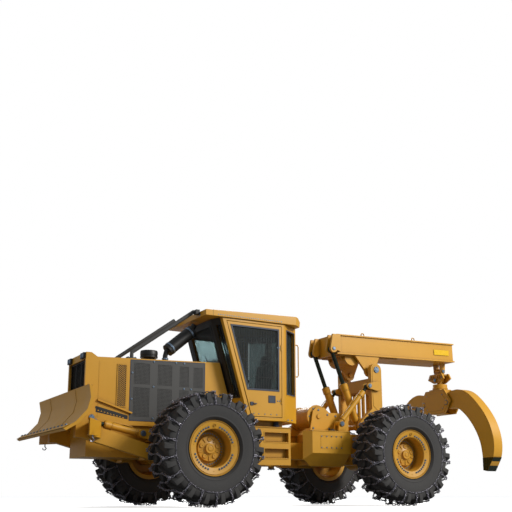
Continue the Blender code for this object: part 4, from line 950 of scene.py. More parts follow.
def front_quad(side, end_gap, low, high):
    """The slanted opening between windscreen and door pillar, from the nose back, bottom edge first."""
    edges = []
    for z in (low, high):
        nose = Vector((lean(NOSE_X, z), side * NOSE_HALF, z))
        pillar = Vector((lean(PILLAR_X, z), side * CAB_HALF, z))
        along = (pillar - nose).normalized()
        edges.append((nose + along * end_gap, pillar - along * end_gap))
    return [edges[0][0], edges[0][1], edges[1][1], edges[1][0]]


def rear_quad(side, low, high):
    post, back = Vector((POST_X, side * CAB_HALF, 0)), Vector((REAR_X, side * REAR_HALF, 0))
    along = (back - post).normalized()
    a, b, up = post + along * 0.07, back - along * 0.06, Vector((0, 0, 1))
    return [a + up * low, b + up * low, b + up * high, a + up * high]


def outward(side, x, y):
    return Vector((x, side * y, 0)).normalized()


class SKIDDER_OT_cab(Operator):
    """Seals, wire screens, frame bars, roof bolts, mounts and handles of the cab"""

    bl_idname = "skidder.cab"
    bl_label = "Cab"

    def execute(self, context):
        f = settings().fittings
        wires, dark, seals, bolts = (bmesh.new() for _ in range(4))
        yellow, rubber = bmesh.new(), bmesh.new()
        nose = [(lean(NOSE_X, 1.93), 0.43, 1.93), (lean(NOSE_X, 1.93), -0.43, 1.93),
                (lean(NOSE_X, 3.10), -0.43, 3.10), (lean(NOSE_X, 3.10), 0.43, 3.10)]
        back = Vector((-0.02, 0, 0))
        screen(wires, [Vector(c) + back for c in nose], (32, -32), f.mesh, f.wire)
        strip(dark, nose, 0.028, (0.010, 0, -0.003))
        # painted shade: a black band over the windscreen, under the front edge of the roof
        plate(dark, [(lean(NOSE_X, 3.10), 0.43, 3.10), (lean(NOSE_X, 3.10), -0.43, 3.10),
                     (lean(NOSE_X, 3.187), -0.43, 3.187), (lean(NOSE_X, 3.187), 0.43, 3.187)], (0.004, 0, 0))
        rear = [(REAR_X, 0.405, 1.93), (REAR_X, -0.405, 1.93), (REAR_X, -0.405, 3.10), (REAR_X, 0.405, 3.10)]
        screen(wires, [Vector(c) - back for c in rear], (0, 90), 0.05, f.wire * 1.3)
        strip(seals, rear, 0.026, (-0.008, 0, 0))
        for name, side in SIDES:
            slant = front_quad(side, 0.06, 1.83, 3.10)
            away = outward(side, 0.26, 0.09)
            screen(wires, [c - away * 0.02 for c in slant], (32, -32), f.mesh, f.wire)
            strip(dark, slant, 0.028, away * 0.010)
            # dark facing on the post between windscreen and side light; the black band over the side light is
            # painted shade under the roof's edge
            low, high = 1.93, 3.187
            corner_low = Vector((lean(NOSE_X, low), side * NOSE_HALF, low))
            corner_high = Vector((lean(NOSE_X, high), side * NOSE_HALF, high))
            inboard = Vector((0, -side * 0.07, 0))
            plate(dark, [corner_low, corner_low + inboard, corner_high + inboard, corner_high], (0.004, 0, 0))
            ends = front_quad(side, 0.0, 1.83, high)
            along = (ends[1] - ends[0]).normalized()
            plate(dark, [ends[0], ends[0] + along * 0.06, ends[3] + along * 0.06, ends[3]], away * 0.004)
            # painted shade: black band over the side light, under the roof's edge
            plate(dark, [slant[3], slant[2], ends[2] - along * 0.06, ends[3] + along * 0.06], away * 0.004)
            edge = [a.lerp(b, 0.5) for a, b in (slant[:2], slant[:1:-1])]
            tube(dark, [edge[0] - away * 0.012, edge[1] - away * 0.012], 0.016, square=True)
            corner = rear_quad(side, 1.93, 3.10)
            away = outward(side, -0.285, 0.41)
            strip(seals, corner, 0.020, away * 0.008)
            strip(yellow, inset(corner, -0.014), 0.012, away * 0.005)
            # roof: a bolt row along the eaves, and the seam of its front cap
            for spot in row((0.24, side * 0.79, 3.222), (1.50, side * 0.79, 3.222), 30):
                bolt(bolts, spot, (0, side, 0), 0.013)
            block(dark, (1.600, 1.604), sorted((side * 0.789, side * 0.7915)), (3.195, 3.300))
            for x in (0.25, 0.75):
                for z, radius in ((1.362, 0.050), (1.405, 0.042)):
                    lathe(rubber, (x, side * 0.60, z), (0, 0, 1),
                          [(0, 0), (radius, 0), (radius + 0.006, 0.02),
                                                                    (radius, 0.040), (0, 0.040)], 24)
            # grab handle behind the rear corner
            tube(yellow,
                 [(REAR_X, side * 0.44, 2.90), (REAR_X - 0.06, side * 0.44, 2.90),
                  (REAR_X - 0.08, side * 0.44, 2.87),
                          (REAR_X - 0.08, side * 0.44, 2.34), (REAR_X - 0.06, side * 0.44, 2.31),
                  (REAR_X, side * 0.44, 2.31)],
                 0.011, 10)
            for z in (2.31, 2.90):
                lathe(yellow, (REAR_X, side * 0.44, z), (-1, 0, 0),
                      [(0, 0), (0.026, 0), (0.026, 0.006), (0, 0.006)], 20)
            # bolts at the rear foot of the cab
            for spot in row((0.02, side * 0.760, 1.475), (0.10, side * 0.760, 1.475), 2):
                bolt(bolts, spot, (0, side, 0), 0.018)
        # wiper on the windscreen
        pivot = Vector((lean(NOSE_X, 1.97) + 0.02, 0.10, 1.97))
        tip = Vector((lean(NOSE_X, 2.62) + 0.02, -0.02, 2.62))
        tube(dark, [pivot, tip], 0.006)
        rod(dark, pivot - Vector((0.03, 0, 0)), pivot + Vector((0.012, 0, 0)), 0.018)
        # two lamps under the front edge of the roof
        for y in (-0.55, 0.55):
            block(dark, (1.70, 1.7395), (y - 0.05, y + 0.05), (3.2075, 3.2725))
            lathe(bolts, (1.7385, y, 3.24), (1, 0, 0), [(0, 0), (0.028, 0), (0.028, 0.004), (0, 0.006)], 24)
        piece("cab_screens", wires, "satin_black", "front")
        # dark frames, wiper and lamps, with the painted shade bands under the roof
        piece("cab_frames_and_painted_shade", dark, "satin_black", "front", 0.002)
        piece("cab_seals", seals, "seal_rubber", "front", 0.002)
        piece("cab_bolts", bolts, "zinc_plate", "front")
        piece("cab_trim", yellow, "sprayed_enamel", "front", 0.0015)
        piece("cab_mounts", rubber, "seal_rubber", "front", 0.002)
        return {"FINISHED"}


class SKIDDER_OT_doors(Operator):
    """Seal, wire screen, latch and bare plate on each door"""

    bl_idname = "skidder.doors"
    bl_label = "Doors"

    def execute(self, context):
        f = settings().fittings
        for name, side in SIDES:
            body = f"door_{name}"
            wires, seals, dark, bolts = (bmesh.new() for _ in range(4))
            mid = side * (CAB_HALF - 0.008)
            window = door_window(0.07, mid)
            screen(wires, window, (90,), f.mesh, f.wire)
            for z in (2.20, 2.50, 2.80):
                tube(wires, [(0.29, mid - side * 0.006, z),
                             (lean(PILLAR_X, z) - 0.14, mid - side * 0.006, z)],
                     f.wire * 1.2, square=True)
            strip(seals, door_window(0.055, side * (CAB_HALF + 0.003)), 0.030, (0, side * 0.005, 0))
            # a bare dark plate, the latch with its pull, and small bolts along the foot
            skin_y = side * (CAB_HALF + 0.003)
            block(dark, (0.366, 0.492), sorted((skin_y, skin_y + side * 0.004)), (1.77, 1.88))
            strip(dark, [(0.358, skin_y, 1.762), (0.500, skin_y, 1.762), (0.500, skin_y, 1.888),
                         (0.358, skin_y, 1.888)],
                  0.010, (0, side * 0.007, 0))
            block(dark, (0.80, 0.86), sorted((skin_y, skin_y + side * 0.012)), (1.70, 1.76))
            rod(dark, (0.81, skin_y + side * 0.018, 1.73), (0.74, skin_y + side * 0.018, 1.73), 0.008)
            for x in (0.33, 0.45, 0.57, 0.69, 0.79):
                bolt(bolts, (x, skin_y, 1.56), (0, side, 0), 0.014)
            for z in (1.74, 2.69):
                for x in (0.27, 0.31):
                    bolt(bolts, (x, skin_y, z + 0.06), (0, side, 0), 0.016)
            piece(f"door_screen_{name}", wires, "satin_black", body)
            piece(f"door_seal_{name}", seals, "seal_rubber", body, 0.0015)
            piece(f"door_latch_{name}", dark, "seal_rubber", body, 0.0015)
            piece(f"door_bolts_{name}", bolts, "zinc_plate", body)
        return {"FINISHED"}


def cushion(name, centre, along, wide, size, channels):
    """A crowned closed pad: its sides pull in between the corners and sewn channels cross its face.
    Size is length, width, thickness; along is its length's direction, and wide its width's."""
    length, width, thick = size
    along, wide = Vector(along).normalized(), Vector(wide).normalized()
    up = along.cross(wide)
    bm = bmesh.new()
    steps = 28
    top, bottom = [], []
    for i in range(steps + 1):
        u = -1 + 2 * i / steps
        upper, lower = [], []
        for j in range(steps + 1):
            v = -1 + 2 * j / steps
            pull = 1 - 0.05 * (1 - abs(v) ** 2.5)
            pull_v = 1 - 0.05 * (1 - abs(u) ** 2.5)
            crown = ((1 - abs(u) ** 5) * (1 - abs(v) ** 5)) ** 0.45
            groove = sum(0.10 * (2.718 ** -(((v - c) / 0.05) ** 2)) for c in channels)
            spot = Vector(centre) + along * (u * length / 2 * pull) + wide * (v * width / 2 * pull_v)
            upper.append(spot + up * (thick * (0.16 + crown * (0.46 - groove))))
            lower.append(spot - up * (thick * (0.10 + 0.30 * crown ** 0.5)))
        top.append(upper)
        bottom.append(lower)
    verts_top = [[bm.verts.new(p) for p in r] for r in top]
    verts_low = [[bm.verts.new(p) for p in r] for r in bottom]
    for i in range(steps):
        for j in range(steps):
            bm.faces.new((verts_top[i][j], verts_top[i + 1][j], verts_top[i + 1][j + 1], verts_top[i][j + 1]))
            bm.faces.new((verts_low[i][j], verts_low[i][j + 1], verts_low[i + 1][j + 1], verts_low[i + 1][j]))
    for k in range(steps):
        for i, j, p, q in ((k, 0, k + 1, 0), (k + 1, steps, k, steps), (0, k + 1, 0, k),
                           (steps, k, steps, k + 1)):
            bm.faces.new((verts_top[i][j], verts_top[p][q], verts_low[p][q], verts_low[i][j]))
    made = piece(name, bm, "woven_seat_cloth", "front")
    made.data.shade_smooth()
    return made


class SKIDDER_OT_seat(Operator):
    """Operator's seat with its pads, armrests, levers, and the steering column"""

    bl_idname = "skidder.seat"
    bl_label = "Seat"

    def execute(self, context):
        floor, x = 1.5005, 0.42
        base, levers = bmesh.new(), bmesh.new()
        block(base, (x - 0.20, x + 0.22), (-0.20, 0.20), (floor, floor + 0.04))
        for i in range(6):
            grow = 0.012 * (i % 2)
            block(base, (x - 0.15 - grow, x + 0.16 + grow), (-0.15 - grow, 0.15 + grow),
                  (floor + 0.04 + i * 0.035, floor + 0.075 + i * 0.035))
        block(base, (x - 0.20, x + 0.24), (-0.21, 0.21), (floor + 0.25, floor + 0.30))
        prism(base, [(x - 0.29, floor + 0.34), (x - 0.25, floor + 0.34), (x - 0.345, floor + 1.04),
                     (x - 0.375, floor + 1.02)], "Y", -0.20, 0.20)
        block(base, (x - 0.29, x - 0.18), (-0.06, 0.06), (floor + 0.26, floor + 0.36))
        for y in (-0.06, 0.06):
            rod(levers, (x - 0.345, y, floor + 1.00), (x - 0.352, y, floor + 1.10), 0.008)
        for side in (-1, 1):
            block(base, (x - 0.22, x - 0.15), sorted((side * 0.215, side * 0.275)),
                  (floor + 0.28, floor + 0.52))
            block(base, (x - 0.22, x + 0.20), sorted((side * 0.245, side * 0.330)),
                  (floor + 0.50, floor + 0.545))
            block(base, (x + 0.14, x + 0.30), sorted((side * 0.235, side * 0.340)),
                  (floor + 0.50, floor + 0.575))
            for lever_x in (x + 0.19, x + 0.25):
                spot = Vector((lever_x, side * 0.288, floor + 0.57))
                rod(levers, spot, spot + Vector((0.02, 0, 0.10)), 0.006)
                lathe(levers, spot + Vector((0.02, 0, 0.10)), (0.2, 0, 1),
                      [(0, -0.01), (0.014, 0), (0.018, 0.02),
                                                                            (0.014, 0.036), (0, 0.042)], 16)
        # steering column, its wheel and a small dash
        foot, head = Vector((1.10, 0, floor)), Vector((0.955, 0, 2.12))
        tube(base, [foot, head], 0.035, 12)
        block(base, (1.03, 1.16), (-0.12, 0.12), (floor, floor + 0.10))
        prism(base, [(1.00, 1.86), (1.16, 1.86), (1.18, 2.02), (1.06, 2.07)], "Y", -0.22, 0.22)
        slope = (foot - head).normalized()
        ring(base, head - slope * 0.01, slope, 0.175, 0.013, 32, 8)
        first, second = across(slope)
        for turn in (0, 2 * pi / 3, 4 * pi / 3):
            tube(base, [head, head + first * (0.172 * cos(turn)) + second * (0.172 * sin(turn))], 0.009)
        piece("seat_frame", base, "satin_black", "front", 0.004, ["seat"])
        piece("seat_levers", levers, "satin_black", "front")
        cushion("seat_cushion", (x + 0.01, 0, floor + 0.365), (1, 0, 0.05), (0, 1, 0), (0.50, 0.48, 0.13),
                (-0.5, 0.5))
        cushion("seat_back", (x - 0.245, 0, floor + 0.73), (0.10, 0, -0.66), (0, 1, 0), (0.68, 0.46, 0.12),
                (-0.5, 0.5))
        cushion("seat_headrest", (x - 0.312, 0, floor + 1.14), (0.10, 0, -0.66), (0, 1, 0),
                (0.19, 0.27, 0.10), ())
        return {"FINISHED"}


# ---- Blade, frames and pins ---------------------------------------------------------------------------
class SKIDDER_OT_blade(Operator):
    """Cutting edge, back ribs, seams and pin caps of the blade"""

    bl_idname = "skidder.blade"
    bl_label = "Blade"

    def execute(self, context):
        edge, caps, yellow, hook = (bmesh.new() for _ in range(4))
        # bolted cutting edge along the foot of the face
        foot, lip = Vector((4.165, 0, 1.196)), Vector((4.266, 0, 1.1335))
        out = Vector((0.0035, 0, 0.0060))
        plate(edge, [foot + Vector((0, -1.395, 0)) + out * 0.3, foot + Vector((0, 1.395, 0)) + out * 0.3,
                     lip + Vector((0, 1.395, 0)) + out * 0.3, lip + Vector((0, -1.395, 0)) + out * 0.3], out)
        for spot in row((4.20, -1.30, 1.184), (4.20, 1.30, 1.184), 14):
            bolt(caps, spot, (0.53, 0, 0.85), 0.03)
        for y in (-0.70, 0.70):
            points = [(3.918, y, 1.775), (3.8835, y, 1.602), (3.9285, y, 1.424), (4.09, y, 1.2415),
                      (4.16, y, 1.202)]
            tube(yellow, points, 0.003)
        # ribs behind the face, and stiffeners along its top edge
        for y in (-1.05, -0.62, 0.62, 1.05):
            prism(yellow,
                  [(3.845, 1.72), (3.80, 1.68), (3.77, 1.50), (3.80, 1.36), (3.90, 1.30), (3.86, 1.42),
                   (3.825, 1.58)],
                  "Y", y - 0.0125, y + 0.0125)
        for side in (-1, 1):
            tube(yellow, [(3.858, side * 0.52, 1.775), (3.858, side * 1.37, 1.775)], 0.014, 10)
        for side in (-1, 1):
            pin_cap(caps, (3.576, side * 0.690, 1.313), (0, side, 0), 0.040)
            pin_cap(caps, (3.66, side * 0.780, 1.36), (0, side, 0), 0.046)
            pin_cap(caps, (2.62, side * 0.801, 0.84), (0, side, 0), 0.052)
            # open tow hook under the wing
            points = [(3.80, side * 1.30, 1.06), (3.80, side * 1.30, 1.015), (3.775, side * 1.30, 0.985),
                      (3.80, side * 1.30, 0.955), (3.83, side * 1.30, 0.965), (3.835, side * 1.30, 0.99)]
            tube(hook, points, 0.010, 8)
            prism(yellow,
                  [(3.66, side * 1.18), (3.86, side * 1.36), (3.86, side * 1.24), (3.76, side * 1.14)], "Z",
                  1.055, 1.07)
        piece("cutting_edge", edge, "sprayed_enamel", "blade", 0.0015)
        piece("blade_bolts", caps, "zinc_plate", "blade")
        piece("blade_ribs", yellow, "sprayed_enamel", "blade", 0.002)
        piece("tow_hooks", hook, "forged_chain_steel", "blade")
        return {"FINISHED"}


class SKIDDER_OT_cylinders(Operator):
    """Glands, welded ports and rigid pipes on each hydraulic cylinder"""

    bl_idname = "skidder.cylinders"
    bl_label = "Cylinders"

    def execute(self, context):
        # base pin, eye pin, distance from the middle, barrel radius, barrel length
        for kind, base, eye, y, radius, length in (
                ("blade", (2.777, 1.152), (3.576, 1.313), 0.60, 0.055, 0.62),
                ("arch", (-1.17, 1.48), (-1.84, 2.234), 0.52, 0.05, 0.84),
                ("boom", (-1.75, 1.46), (-1.172, 2.929), 0.30, 0.065, 0.86)):
            along = Vector((eye[0] - base[0], 0, eye[1] - base[1])).normalized()
            up = along.cross(Vector((0, 1, 0)))
            if up.z < 0:
                up = -up
            for name, side in SIDES:
                start = Vector((base[0], side * y, base[1]))
                pipes, glands = bmesh.new(), bmesh.new()
                near, far = radius * 1.1 + 0.10, length - 0.14
                off = radius + 0.013
                tube(pipes, [start + along * near + up * radius * 0.8, start + along * near + up * off,
                             start + along * (near + 0.02) + up * (off + 0.006),
                             start + along * (far - 0.02) + up * (off + 0.006),
                             start + along * far + up * off, start + along * far + up * radius * 0.8], 0.008,
                     8)
                for at in (near, far):
                    rod(pipes, start + along * at + up * radius * 0.9,
                        start + along * at + up * (radius + 0.010), 0.016, 12)
                lathe(glands, start + along * length, along,
                      [(radius * 0.66, -0.004), (radius * 1.02, -0.004),
                                                              (radius * 1.02, 0.012), (radius * 0.9, 0.018),
                                                              (radius * 0.66, 0.018)], 32, loop=True)
                lathe(glands, start + along * (length - 0.11), along,
                      [(radius * 0.99, -0.006), (radius * 1.21, -0.006),
                                                                       (radius * 1.21, 0.006),
                       (radius * 0.99, 0.006)],
                      32, loop=True)
                piece(f"{kind}_{name}_pipe", pipes, "sprayed_enamel", f"{kind}_{name}_barrel")
                piece(f"{kind}_{name}_gland", glands, "sprayed_enamel", f"{kind}_{name}_barrel", 0.0015)
        return {"FINISHED"}


class SKIDDER_OT_frames(Operator):
    """Steps, tank seams, hitch caps, winch drum cover and bolts of both frames"""

    bl_idname = "skidder.frames"
    bl_label = "Frames"

    def execute(self, context):
        f = settings().fittings
        front, front_caps, rear, rear_caps, dark = (bmesh.new() for _ in range(5))
        for side in (-1, 1):
            # step boxes: a welded frame and grating in the pockets
            for low in (0.82, 1.10):
                outline = [(0.02, side * 0.630, low), (0.50, side * 0.630, low),
                           (0.50, side * 0.630, low + 0.16),
                           (0.02, side * 0.630, low + 0.16)]
                strip(front, [Vector(c) for c in inset([Vector(c) for c in outline], -0.016)], 0.014,
                      (0, side * 0.006, 0))
                for i in range(9):
                    x = 0.045 + i * 0.054
                    block(front, (x, x + 0.012), sorted((side * 0.545, side * 0.628)),
                          (low + 0.001, low + 0.012))
            for spot in (*row((0.62, side * 0.63, 0.78), (0.92, side * 0.63, 0.78), 3),
                         *row((0.62, side * 0.63, 1.30), (0.92, side * 0.63, 1.30), 3)):
                bolt(front_caps, spot, (0, side, 0), f.bolt)
            strip(front,
                  [(0.58, side * 0.63, 0.84), (0.95, side * 0.63, 0.84), (0.95, side * 0.63, 1.24),
                   (0.58, side * 0.63, 1.24)],
                  0.012, (0, side * 0.004, 0))
            block(front, (-0.03, 0.98), sorted((side * 0.628, side * 0.642)), (1.345, 1.36))
            pin_cap(front_caps, (2.777, side * 0.710, 1.152), (0, side, 0), 0.046)
            # tank: lid flange, hatch with bolts, filler cap
            lid = ((-1.205, 0.40), (-0.66, 0.40), (-0.372, 0.68), (-0.372, 0.818), (-1.205, 0.818))
            prism(rear, [(x, side * y) for x, y in lid], "Z", 1.310, 1.322)
            hatch = [(-1.02, side * 0.81, 1.00), (-0.55, side * 0.81, 1.00), (-0.55, side * 0.81, 1.24),
                     (-1.02, side * 0.81, 1.24)]
            strip(rear, hatch, 0.010, (0, side * 0.004, 0))
            for x in (-1.00, -0.89, -0.785, -0.68, -0.57):
                for z in (1.02, 1.22):
                    bolt(rear_caps, (x, side * 0.812, z), (0, side, 0), 0.018)
            lathe(dark, (-0.92, side * 0.62, 1.322), (0, 0, 1),
                  [(0, 0), (0.055, 0), (0.058, 0.01), (0.058, 0.035),
                                                                (0.050, 0.045), (0, 0.045)], 28)
            # winch cheeks and arch bearings
            for x, z in ((-0.70, 1.40), (-0.82, 1.74), (-1.02, 1.66), (-1.20, 1.64), (-1.40, 1.64),
                         (-1.40, 1.40), (-1.05, 1.40)):
                bolt(rear_caps, (x, side * 0.35, z), (0, side, 0), f.bolt)
            pin_cap(rear_caps, (-1.17, side * 0.612, 1.48), (0, side, 0), 0.045)
            # ribs on the frame between the axle and the butt plate
            for x in (-1.40, -2.30):
                block(rear, (x - 0.01, x + 0.01), sorted((side * 0.418, side * 0.55)), (0.80, 1.20))
        for y in (-0.52, -0.30, 0.30, 0.52):
            for z in (0.72, 1.30):
                bolt(rear_caps, (-2.5003, y, z), (-1, 0, 0), f.bolt * 1.3)
        strip(rear, [(-2.5003, -0.56, 0.68), (-2.5003, 0.56, 0.68), (-2.5003, 0.56, 1.34),
                     (-2.5003, -0.56, 1.34)],
              0.020, (-0.004, 0, 0))
        # hitch pins: caps over both bearings
        for z, way in ((1.3205, 1), (0.659, -1)):
            pin_cap(front_caps, (0, 0, z), (0, 0, way), 0.075)
        piece("step_grating", front, "sprayed_enamel", "front", 0.0015)
        piece("front_pin_caps", front_caps, "zinc_plate", "front")
        piece("tank_fittings", rear, "sprayed_enamel", "rear", 0.002)
        piece("rear_bolts", rear_caps, "zinc_plate", "rear")
        piece("filler_caps", dark, "satin_black", "rear", 0.002)

        cover = bmesh.new()
        profile = [(0.135, -0.262), (0.190, -0.262)]
        for i in range(12):
            y = -0.242 + i * 0.044
            profile += [(0.196, y - 0.014), (0.196, y + 0.014), (0.188, y + 0.018), (0.188, y + 0.026)]
        lathe(cover, (-0.82, 0, 1.62), (0, 1, 0), profile[:-2] + [(0.190, 0.262), (0.135, 0.262)], 64,
              loop=True)
        piece("winch_drum_cover", cover, "sprayed_enamel", "winch_drum")
        hub = bmesh.new()
        for side in (-1, 1):
            for turn in range(6):
                spot = Vector((-0.82 + 0.17 * cos(turn * pi / 3), side * 0.300,
                               1.62 + 0.17 * sin(turn * pi / 3)))
                bolt(hub, spot, (0, side, 0), 0.020)
        piece("winch_flange_bolts", hub, "zinc_plate", "winch_drum")
        return {"FINISHED"}


# ---- Arch, boom and grapple ---------------------------------------------------------------------------
class SKIDDER_OT_boom(Operator):
    """Plates, eyes, label, pins and welds of the arch and the boom"""

    bl_idname = "skidder.boom"
    bl_label = "Arch and boom"

    def execute(self, context):
        f = settings().fittings
        slope = radians(1.4)
        pivot = Vector((-2.04, 0, 2.56))

        def tilt(x, y, z):
            dx, dz = x - pivot.x, z - pivot.z
            return Vector((pivot.x + dx * cos(slope) + dz * sin(slope), y,
                           pivot.z - dx * sin(slope) + dz * cos(slope)))

        yellow, caps, label, hoses = (bmesh.new() for _ in range(4))
        # lifting eyes on top
        for x in (-1.92, -3.20):
            low, high = tilt(x - 0.045, 0, 3.247), tilt(x + 0.045, 0, 3.247)
            middle_x, top = (low.x + high.x) / 2, low.z
            ring(yellow, (middle_x, 0.33, top + 0.020), (0, 1, 0), 0.034, 0.011, 20, 8)
            block(yellow, (middle_x - 0.05, middle_x + 0.05), (0.316, 0.344), (top - 0.006, top + 0.004))
        # weld beads along the flanges and an end plate on each side
        for side in (-1, 1):
            skin_y = side * (0.38 - 0.015)
            for z in (2.872, 3.218):
                tube(yellow, [tilt(-1.29, side * 0.362, z), tilt(-4.22, side * 0.362, z)], 0.006, 6)
            corner = [tilt(-1.30, skin_y - side * 0.001, 2.90), tilt(-1.30, skin_y - side * 0.001, 3.20),
                      tilt(-1.28, skin_y - side * 0.001, 3.20), tilt(-1.28, skin_y - side * 0.001, 2.90)]
            plate(yellow, corner, (0, side * 0.006, 0))
            # blank label near the rear end, bare on purpose
            plate(label, [tilt(-3.72, side * 0.3642, 2.985), tilt(-4.12, side * 0.3642, 2.985),
                          tilt(-4.12, side * 0.3642, 3.095), tilt(-3.72, side * 0.3642, 3.095)],
                  (0, side * 0.0028, 0))
            pin_cap(caps, Vector((-1.172, side * 0.396, 2.929)), (0, side, 0), 0.034)
            pin_cap(caps, Vector((-4.16, side * 0.121, 2.745)), (0, side, 0), 0.036)
        # gusset plates under the boom, and a bolted frame on its rear end plate
        for side in (-1, 1):
            prism(yellow, [(-1.62, 2.87), (-1.40, 2.86), (-1.46, 2.78), (-1.60, 2.72)], "Y", side * 0.20,
                  side * 0.215)
        end = [tilt(-4.225, y, z) for y, z in ((-0.33, 2.89), (0.33, 2.89), (0.33, 3.20), (-0.33, 3.20))]
        strip(yellow, end, 0.025, (-0.005, 0, 0))
        for y, z in ((-0.28, 2.93), (0.28, 2.93), (-0.28, 3.17), (0.28, 3.17)):
            bolt(caps, tilt(-4.226, y, z) + Vector((-0.016, 0, 0)), (-1, 0, 0), f.bolt)
        piece("boom_fittings", yellow, "sprayed_enamel", "boom", 0.0015)
        piece("boom_pin_caps", caps, "zinc_plate", "boom")
        piece("blank_label", label, "label_enamel", "boom")

        arch, pins = bmesh.new(), bmesh.new()
        for side in (-1, 1):
            pin_cap(pins, (-2.04, side * 0.560, 2.56), (0, side, 0), 0.060)
            pin_cap(pins, (-1.84, side * 0.606, 2.234), (0, side, 0), 0.040)
            pin_cap(pins, (-1.75, side * 0.700, 1.46), (0, side, 0), 0.055)
            # facing plates on the posts, with rounded tops
            outline = [(-2.04 + 0.095 * cos(pi * i / 8), 2.56 + 0.095 * sin(pi * i / 8)) for i in range(9)]
            prism(arch, outline + [(-2.135, 1.70), (-1.95, 1.86)], "Y", side * 0.548, side * 0.556)
            # two rigid pipes up each post and their clamps
            for y in (0.468, 0.492):
                tube(hoses, [(-2.176, side * y, 1.66), (-2.176, side * y, 2.46), (-2.16, side * y, 2.50)],
                     0.006, 8)
            for z in (1.80, 2.10, 2.40):
                block(hoses, (-2.186, -2.169), sorted((side * 0.455, side * 0.505)), (z, z + 0.02))
        # arched cut-out plate under the cross beam and roller end bolts
        plate_x = -1.948
        span = [-0.44 + 0.88 * i / 16 for i in range(17)]
        lower = [(y, 2.16 - 0.10 * (abs(y) / 0.44) ** 2.5) for y in span]
        prism(arch, [(0.44, 2.38), (-0.44, 2.38)] + lower, "X", plate_x, plate_x + 0.012)
        for i in range(-2, 3):
            for z in (1.625, 2.125):
                rod(arch, (-2.02, i * 0.14, z), (-2.02, i * 0.14, z + 0.012), 0.046, 20)
        piece("arch_plates", arch, "sprayed_enamel", "arch", 0.0015)
        piece("arch_pin_caps", pins, "zinc_plate", "arch")
        piece("arch_pipes", hoses, "sprayed_enamel", "arch")
        return {"FINISHED"}


class SKIDDER_OT_grapple(Operator):
    """Crosshead ribs, second plates, pins, edges and dark tips of the grapple"""

    bl_idname = "skidder.grapple"
    bl_label = "Grapple"

    def execute(self, context):
        tip_x, sway_z = -4.16, 2.56
        cross, pins = bmesh.new(), bmesh.new()
        for side in (-1, 1):
            for y in (-0.12, -0.06, 0.06, 0.12):
                prism(cross, [(tip_x + side * 0.110, sway_z + 0.105), (tip_x + side * 0.128, sway_z + 0.085),
                              (tip_x + side * 0.128, sway_z + 0.03), (tip_x + side * 0.110, sway_z + 0.01)],
                      "Y", y - 0.008, y + 0.008)
            pin_cap(pins, (tip_x + side * 0.131, 0, sway_z), (side, 0, 0), 0.038)
            for y in (-0.17, 0.17):
                bolt(pins, (tip_x + side * 0.11, y, sway_z + 0.05), (side, 0, 0), 0.022)
        piece("crosshead_ribs", cross, "sprayed_enamel", "crosshead", 0.002)
        piece("crosshead_pins", pins, "zinc_plate", "crosshead")

        collar = bmesh.new()
        lathe(collar, (tip_x, 0, 2.375), (0, 0, 1),
              [(0.149, -0.008), (0.158, -0.004), (0.158, 0.028), (0.149, 0.034)],
              40, loop=True)
        piece("rotator_collar", collar, "sprayed_enamel", "rotator", 0.001)

        head, caps = bmesh.new(), bmesh.new()
        outer = [(0.43, 2.09), (0.262, 2.32), (-0.262, 2.32), (-0.43, 2.09), (-0.262, 1.86), (0.262, 1.86)]
        inner = [(0.34, 2.09), (0.21, 2.27), (-0.21, 2.27), (-0.34, 2.09), (-0.21, 1.91), (0.21, 1.91)]
        for side in (-1, 1):
            face = tip_x + side * 0.160
            for outline, low, high in ((outer, 0.0, 0.006), (inner, 0.006, 0.012)):
                prism(head, outline, "X", face + side * low, face + side * high)
            for y in (-0.34, 0.34):
                ring(caps, (face + side * 0.010, y, 2.06), (1, 0, 0), 0.046, 0.005)
            for y, z in ((0.23, 2.23), (-0.23, 2.23), (0.23, 1.95), (-0.23, 1.95)):
                bolt(caps, (face + side * 0.006, y, z), (side, 0, 0), 0.018)
        piece("grapple_plates", head, "sprayed_enamel", "grapple", 0.002)
        piece("grapple_bolts", caps, "zinc_plate", "grapple")

        back = flowing([(0.36, 2.27), (0.62, 2.30), (0.90, 2.20), (1.20, 1.92), (1.42, 1.60), (1.53, 1.25),
                        (1.50, 0.92), (1.32, 0.64)])
        bow = flowing([(1.22, 0.66), (1.22, 0.92), (1.17, 1.22), (1.02, 1.52), (0.80, 1.78), (0.56, 1.94),
                       (0.34, 1.93), (0.26, 2.02)])
        bore = [(0.34 + 0.0408 * cos(pi * i / 16), 2.06 + 0.0408 * sin(pi * i / 16)) for i in range(32)]
        for name, side in SIDES:
            body, edges, tips = bmesh.new(), bmesh.new(), bmesh.new()
            drilled(body, [(side * y, z) for y, z in back + bow], [(side * y, z) for y, z in bore],
                    tip_x - 0.11, tip_x + 0.11)
            made = piece(f"curved_tong_{name}", body, "sprayed_enamel", f"tong_{name}", 0.0, [f"tong_{name}"])
            made.data.set_sharp_from_angle(angle=radians(30))
            for line, shift in ((back[10:-8], -0.012), (bow[8:-14], 0.012)):
                for face in (-1, 1):
                    points = [(tip_x + face * 0.111, side * (y + shift), z + shift * 0.4) for y, z in line]
                    tube(edges, points, 0.005, 6)
            outline = [(side * y, z) for y,
                       z in ((1.219, 0.662), (1.222, 0.90), (1.494, 0.90), (1.318, 0.645))]
            for face in (-1, 1):
                prism(tips, outline, "X", tip_x + face * 0.1102, tip_x + face * 0.1135)
            prism(tips, [(side * y, z) for y,
                         z in ((1.4985, 0.90), (1.503, 0.90), (1.326, 0.640), (1.320, 0.643))], "X",
                  tip_x - 0.1102, tip_x + 0.1102)
            prism(tips, [(side * y, z) for y,
                         z in ((1.2155, 0.66), (1.2175, 0.90), (1.2195, 0.90), (1.2198, 0.66))], "X",
                  tip_x - 0.1102, tip_x + 0.1102)
            piece(f"tong_edges_{name}", edges, "sprayed_enamel", f"tong_{name}")
            piece(f"tong_tip_{name}", tips, "plated_rod", f"tong_{name}")
        return {"FINISHED"}


